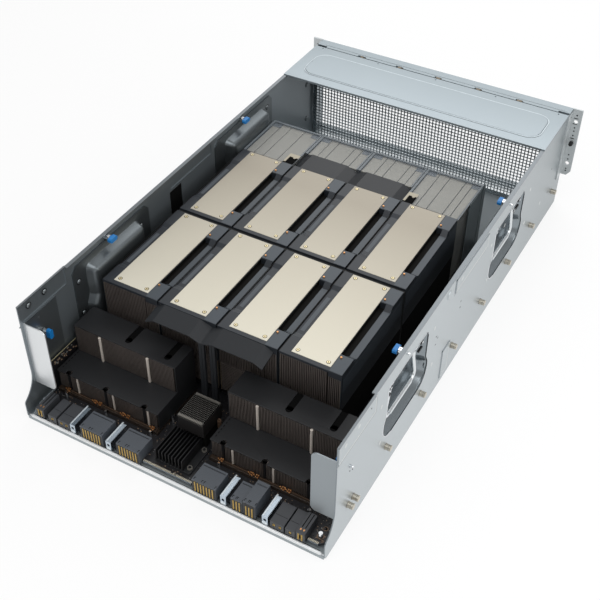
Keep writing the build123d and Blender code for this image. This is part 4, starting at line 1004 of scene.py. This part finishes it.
# controller heatsink with nine fins, and its spring screws
sink = {"base": ((-30.0, 22.0), (-382.0, -336.0), (10.5, 13.0)), "fins": 9, "first": (-27.6, -359, 21.9),
        "pitch": 4.85, "fin": (1.2, 46, 18.2), "screwX": 17.0, "screwYs": (-341.5, -374.0)}
addPiece("controllerBase", [boxPart(*sink["base"])], "blackCover", bevel=0.4, stands=("controller_heatsink",))
barRows("controllerFins", [sink["first"]], sink["fins"], (sink["pitch"], 0, 0), sink["fin"], "sinkBlack")
springs, springTops = [], []
for y in sink["screwYs"]:
    springs.append(ringPart((sink["screwX"], y, 13.0), "z", 3.4, 2.6, 1.0, 22))
    springs.append(ringPart((sink["screwX"], y, 14.6), "z", 3.2, 2.4, 1.0, 22))
    springTops.append(roundPart((sink["screwX"], y, 13.0), "z", 1.9, 3.6, 18, 0.8))
addPiece("controllerSprings", springs, "finSilver", smooth=True)
addPiece("controllerScrews", springTops, "blackCover", smooth=True)

# fine fin heatsink with bright folded ends
fine = {"x": (-20.0, 17.0), "y": (-341.0, -298.0), "top": 60.0, "depth": 24.0, "pitch": 2.05, "foot": 36.1,
        "post": ((-18.0, 15.0), (-333.8, -300.2), (10.6, 36.2)), "column": (21.0, -311)}
(x0, x1), (y0, y1), foot, top = fine["x"], fine["y"], fine["foot"], fine["top"]
core = [boxPart(*fine["post"]), boxPart((x0 + 0.3, x1 - 0.3), (y0 + 1, y1 - 1), (foot, 52.0))]
addPiece("fineCore", core, "darkCore", stands=("fine_fin_heatsink",))
count, pitch = fitCount(x1 - x0 - 0.7, fine["pitch"]), (fine["pitch"], 0, 0)
barRows("fineFins", [(x0 + 0.4, (y0 + y1) / 2, top - fine["depth"] / 2)], count, pitch,
        (0.62, y1 - y0, fine["depth"]), "fineFin")
barRows("fineCrossLines", [((x0 + x1) / 2, y0 + 5.5, top - 0.9)], 12, (0, 2.9, 0), (x1 - x0 - 0.6, 1.2, 2.2),
        "holeAndShadeBlack")
skirts = [boxPart((x0, x1), (y0 - 0.2, y0), (foot, 56.5)), boxPart((x1, x1 + 0.2), (y0, y1), (foot, 58.0))]
addPiece("fineSkirts", skirts, "blackFin")
for name, y in (("fineEndsFront", y0 + 1.7), ("fineEndsBack", y1 - 1.7)):
    barRows(name, [(x0 + 0.9, y, top - 0.5)], count - 1, pitch, (1.5, 3.0, 0.9), "finSilver")
column = [roundPart((*fine["column"], 10.5), "z", 1.5, 34, 16)]
column += [ringPart((*fine["column"], 30 + 2.2 * i), "z", 2.6, 1.6, 1.2, 20) for i in range(6)]
addPiece("fineSpringColumn", column, "ringTan", smooth=True)
print("heatsinks ready")

# rear edge: bridges in the seam, painted highlight and painted shade along the pressed panel's edge, and knobs in the
# ears
rear = {"bridges": (-133, -65, 2.7, 71.7, 140), "seam": ((-206, 214), (384.6, 385.1), (177.0, 177.06)),
        "earX": 228.0, "earY": 396.9, "holes": (66, 70, 88, 96, 132, 140, 146, 168), "marks": (126, 152, 162),
        "knob": 118.0}
bridges = [boxPart((x - 5, x + 5), (377.5, 381), (176.2, 177.0)) for x in rear["bridges"]]
addPiece("seamBridges", bridges, "tanClip", bevel=0.2)
addPiece("seamLine", [boxPart(*rear["seam"])], "holeAndShadeBlack")
# painted highlight in a band just outside the pressed panel's edge, and painted shade in a band just inside it
emboss = {"x": 200.0, "y": (287.5, 355.5), "radius": 20.0, "top": 177.2,
          "rims": (("embossLight", 0.25, 0.9, 0.9, "embossHighlightZinc"), ("embossShade", 0.1, 0.5, -1.3, "pressedZinc"))}
bend, (y0, y1) = emboss["radius"], emboss["y"]
inset = emboss["x"] - bend
turns = []
for first, (cx, cy) in enumerate(((inset, y1 - bend), (-inset, y1 - bend), (-inset, y0 + bend), (inset, y0 + bend))):
    for step in range(9):
        angle = math.pi / 2 * (first + step / 8)
        turns.append((cx, cy, math.cos(angle), math.sin(angle)))
for name, lift, size, shift, look in emboss["rims"]:
    loops = []
    for reach, height in ((-size, lift), (0, lift + size * 0.3), (size, lift)):
        reach += bend + shift
        loops.append([(cx + reach * a, cy + reach * b, emboss["top"] + height) for cx, cy, a, b in turns])
    addPiece(name, [skinPart(loops, ())], look, smooth=True)
earX, earY, knobZ = rear["earX"], rear["earY"], rear["knob"]
holes = [roundPart((earX, earY, z), "y", 1.2, -0.1, 14) for z in rear["holes"]]
holes += [boxPart((earX - 4, earX + 3), (earY - 0.05, earY + 0.05), (z, z + 1.2)) for z in rear["marks"]]
addPiece("earMarks", bothSides(holes), "holeAndShadeBlack")
knobs = [roundPart((earX, 397.0, knobZ), "y", 3.6, -5.0, 24, 0.9), roundPart((earX, 392.0, knobZ), "y", 2.2, -2.0, 18)]
addPiece("earKnobs", bothSides(knobs), "blackCover", smooth=True)
print("rear edge ready")

# stage, lights and camera
stage = {"half": 3000, "z": (-20, -0.5), "pale": (0.92, 0.92, 0.92), "white": (1.0, 1.0, 1.0), "glow": 0.8,
         "skyDim": 0.55, "skyGain": 0.45}


def stageMaterial():
    # white to the camera and to what shines, and a plain pale floor to the light
    material = bpy.data.materials.new("stageWhite")
    material.use_nodes = True
    tree = material.node_tree
    tree.nodes.clear()
    path = addNode(tree, "ShaderNodeLightPath").outputs
    pale = addNode(tree, "ShaderNodeBsdfDiffuse", {0: stage["pale"]}).outputs[0]
    glow = addNode(tree, "ShaderNodeEmission", {0: stage["white"]}).outputs[0]
    seen = mathNode(tree, "MAXIMUM", path["Is Camera Ray"], path["Is Glossy Ray"])
    seen = mathNode(tree, "MAXIMUM", seen, path["Is Transmission Ray"])
    share = mathNode(tree, "MULTIPLY", seen, stage["glow"])
    mix = addNode(tree, "ShaderNodeMixShader", {0: share, 1: pale, 2: glow}).outputs[0]
    addNode(tree, "ShaderNodeOutputMaterial", {0: mix})
    return material


span = (-stage["half"], stage["half"])
floor = newObject("floor", makeMesh("floor", [boxPart(span, span, stage["z"])]))
floor.data.materials.append(stageMaterial())

world = bpy.data.worlds.new("studio")
bpy.context.scene.world = world
world.use_nodes = True
tree = world.node_tree
path = addNode(tree, "ShaderNodeLightPath").outputs
sight = mathNode(tree, "MAXIMUM", path["Is Camera Ray"], path["Is Transmission Ray"])
sky = tree.nodes["Background"].inputs
feed(tree, sky["Strength"], mathNode(tree, "MULTIPLY_ADD", sight, stage["skyGain"], stage["skyDim"]))
feed(tree, sky["Color"], stage["white"])

lamps = {
    "key": {"place": (0.3, -0.9, 1.9), "aim": (0, -0.05, 0.08), "size": 1.6, "power": 16},
    "fill": {"place": (1.6, 0.1, 0.9), "aim": (0, 0, 0.08), "size": 1.4, "power": 9},
    "back": {"place": (-0.3, 1.5, 1.4), "aim": (0, 0.1, 0.1), "size": 1.6, "power": 12},
}
for name, lamp in lamps.items():
    data = bpy.data.lights.new(name, "AREA")
    data.energy = lamp["power"]
    data.size = lamp["size"]
    light = newObject(name, data)
    light.location = lamp["place"]
    light.rotation_euler = (Vector(lamp["aim"]) - Vector(lamp["place"])).to_track_quat("-Z", "Y").to_euler()

view = {"place": (0.521607, -1.008457, 1.013195), "aim": (0.00842, -0.083435, 0.061457), "lens": 61.587,
        "sensor": 36.0, "roll": 0.010089}
eye, turn = Vector(view["place"]), view["roll"]
forward = (Vector(view["aim"]) - eye).normalized()
level = forward.cross(Vector((0.0, 0.0, 1.0))).normalized()
upright = level.cross(forward)
camRight = math.cos(turn) * level + math.sin(turn) * upright
camUp = -math.sin(turn) * level + math.cos(turn) * upright
camData = bpy.data.cameras.new("camera")
camData.lens = view["lens"]
camData.sensor_width = view["sensor"]
camera = newObject("camera", camData)
camera.matrix_world = Matrix.Translation(eye) @ Matrix((camRight, camUp, -forward)).transposed().to_4x4()
bpy.context.scene.camera = camera
bpy.context.scene.view_settings.view_transform = "Standard"
print("stage ready")
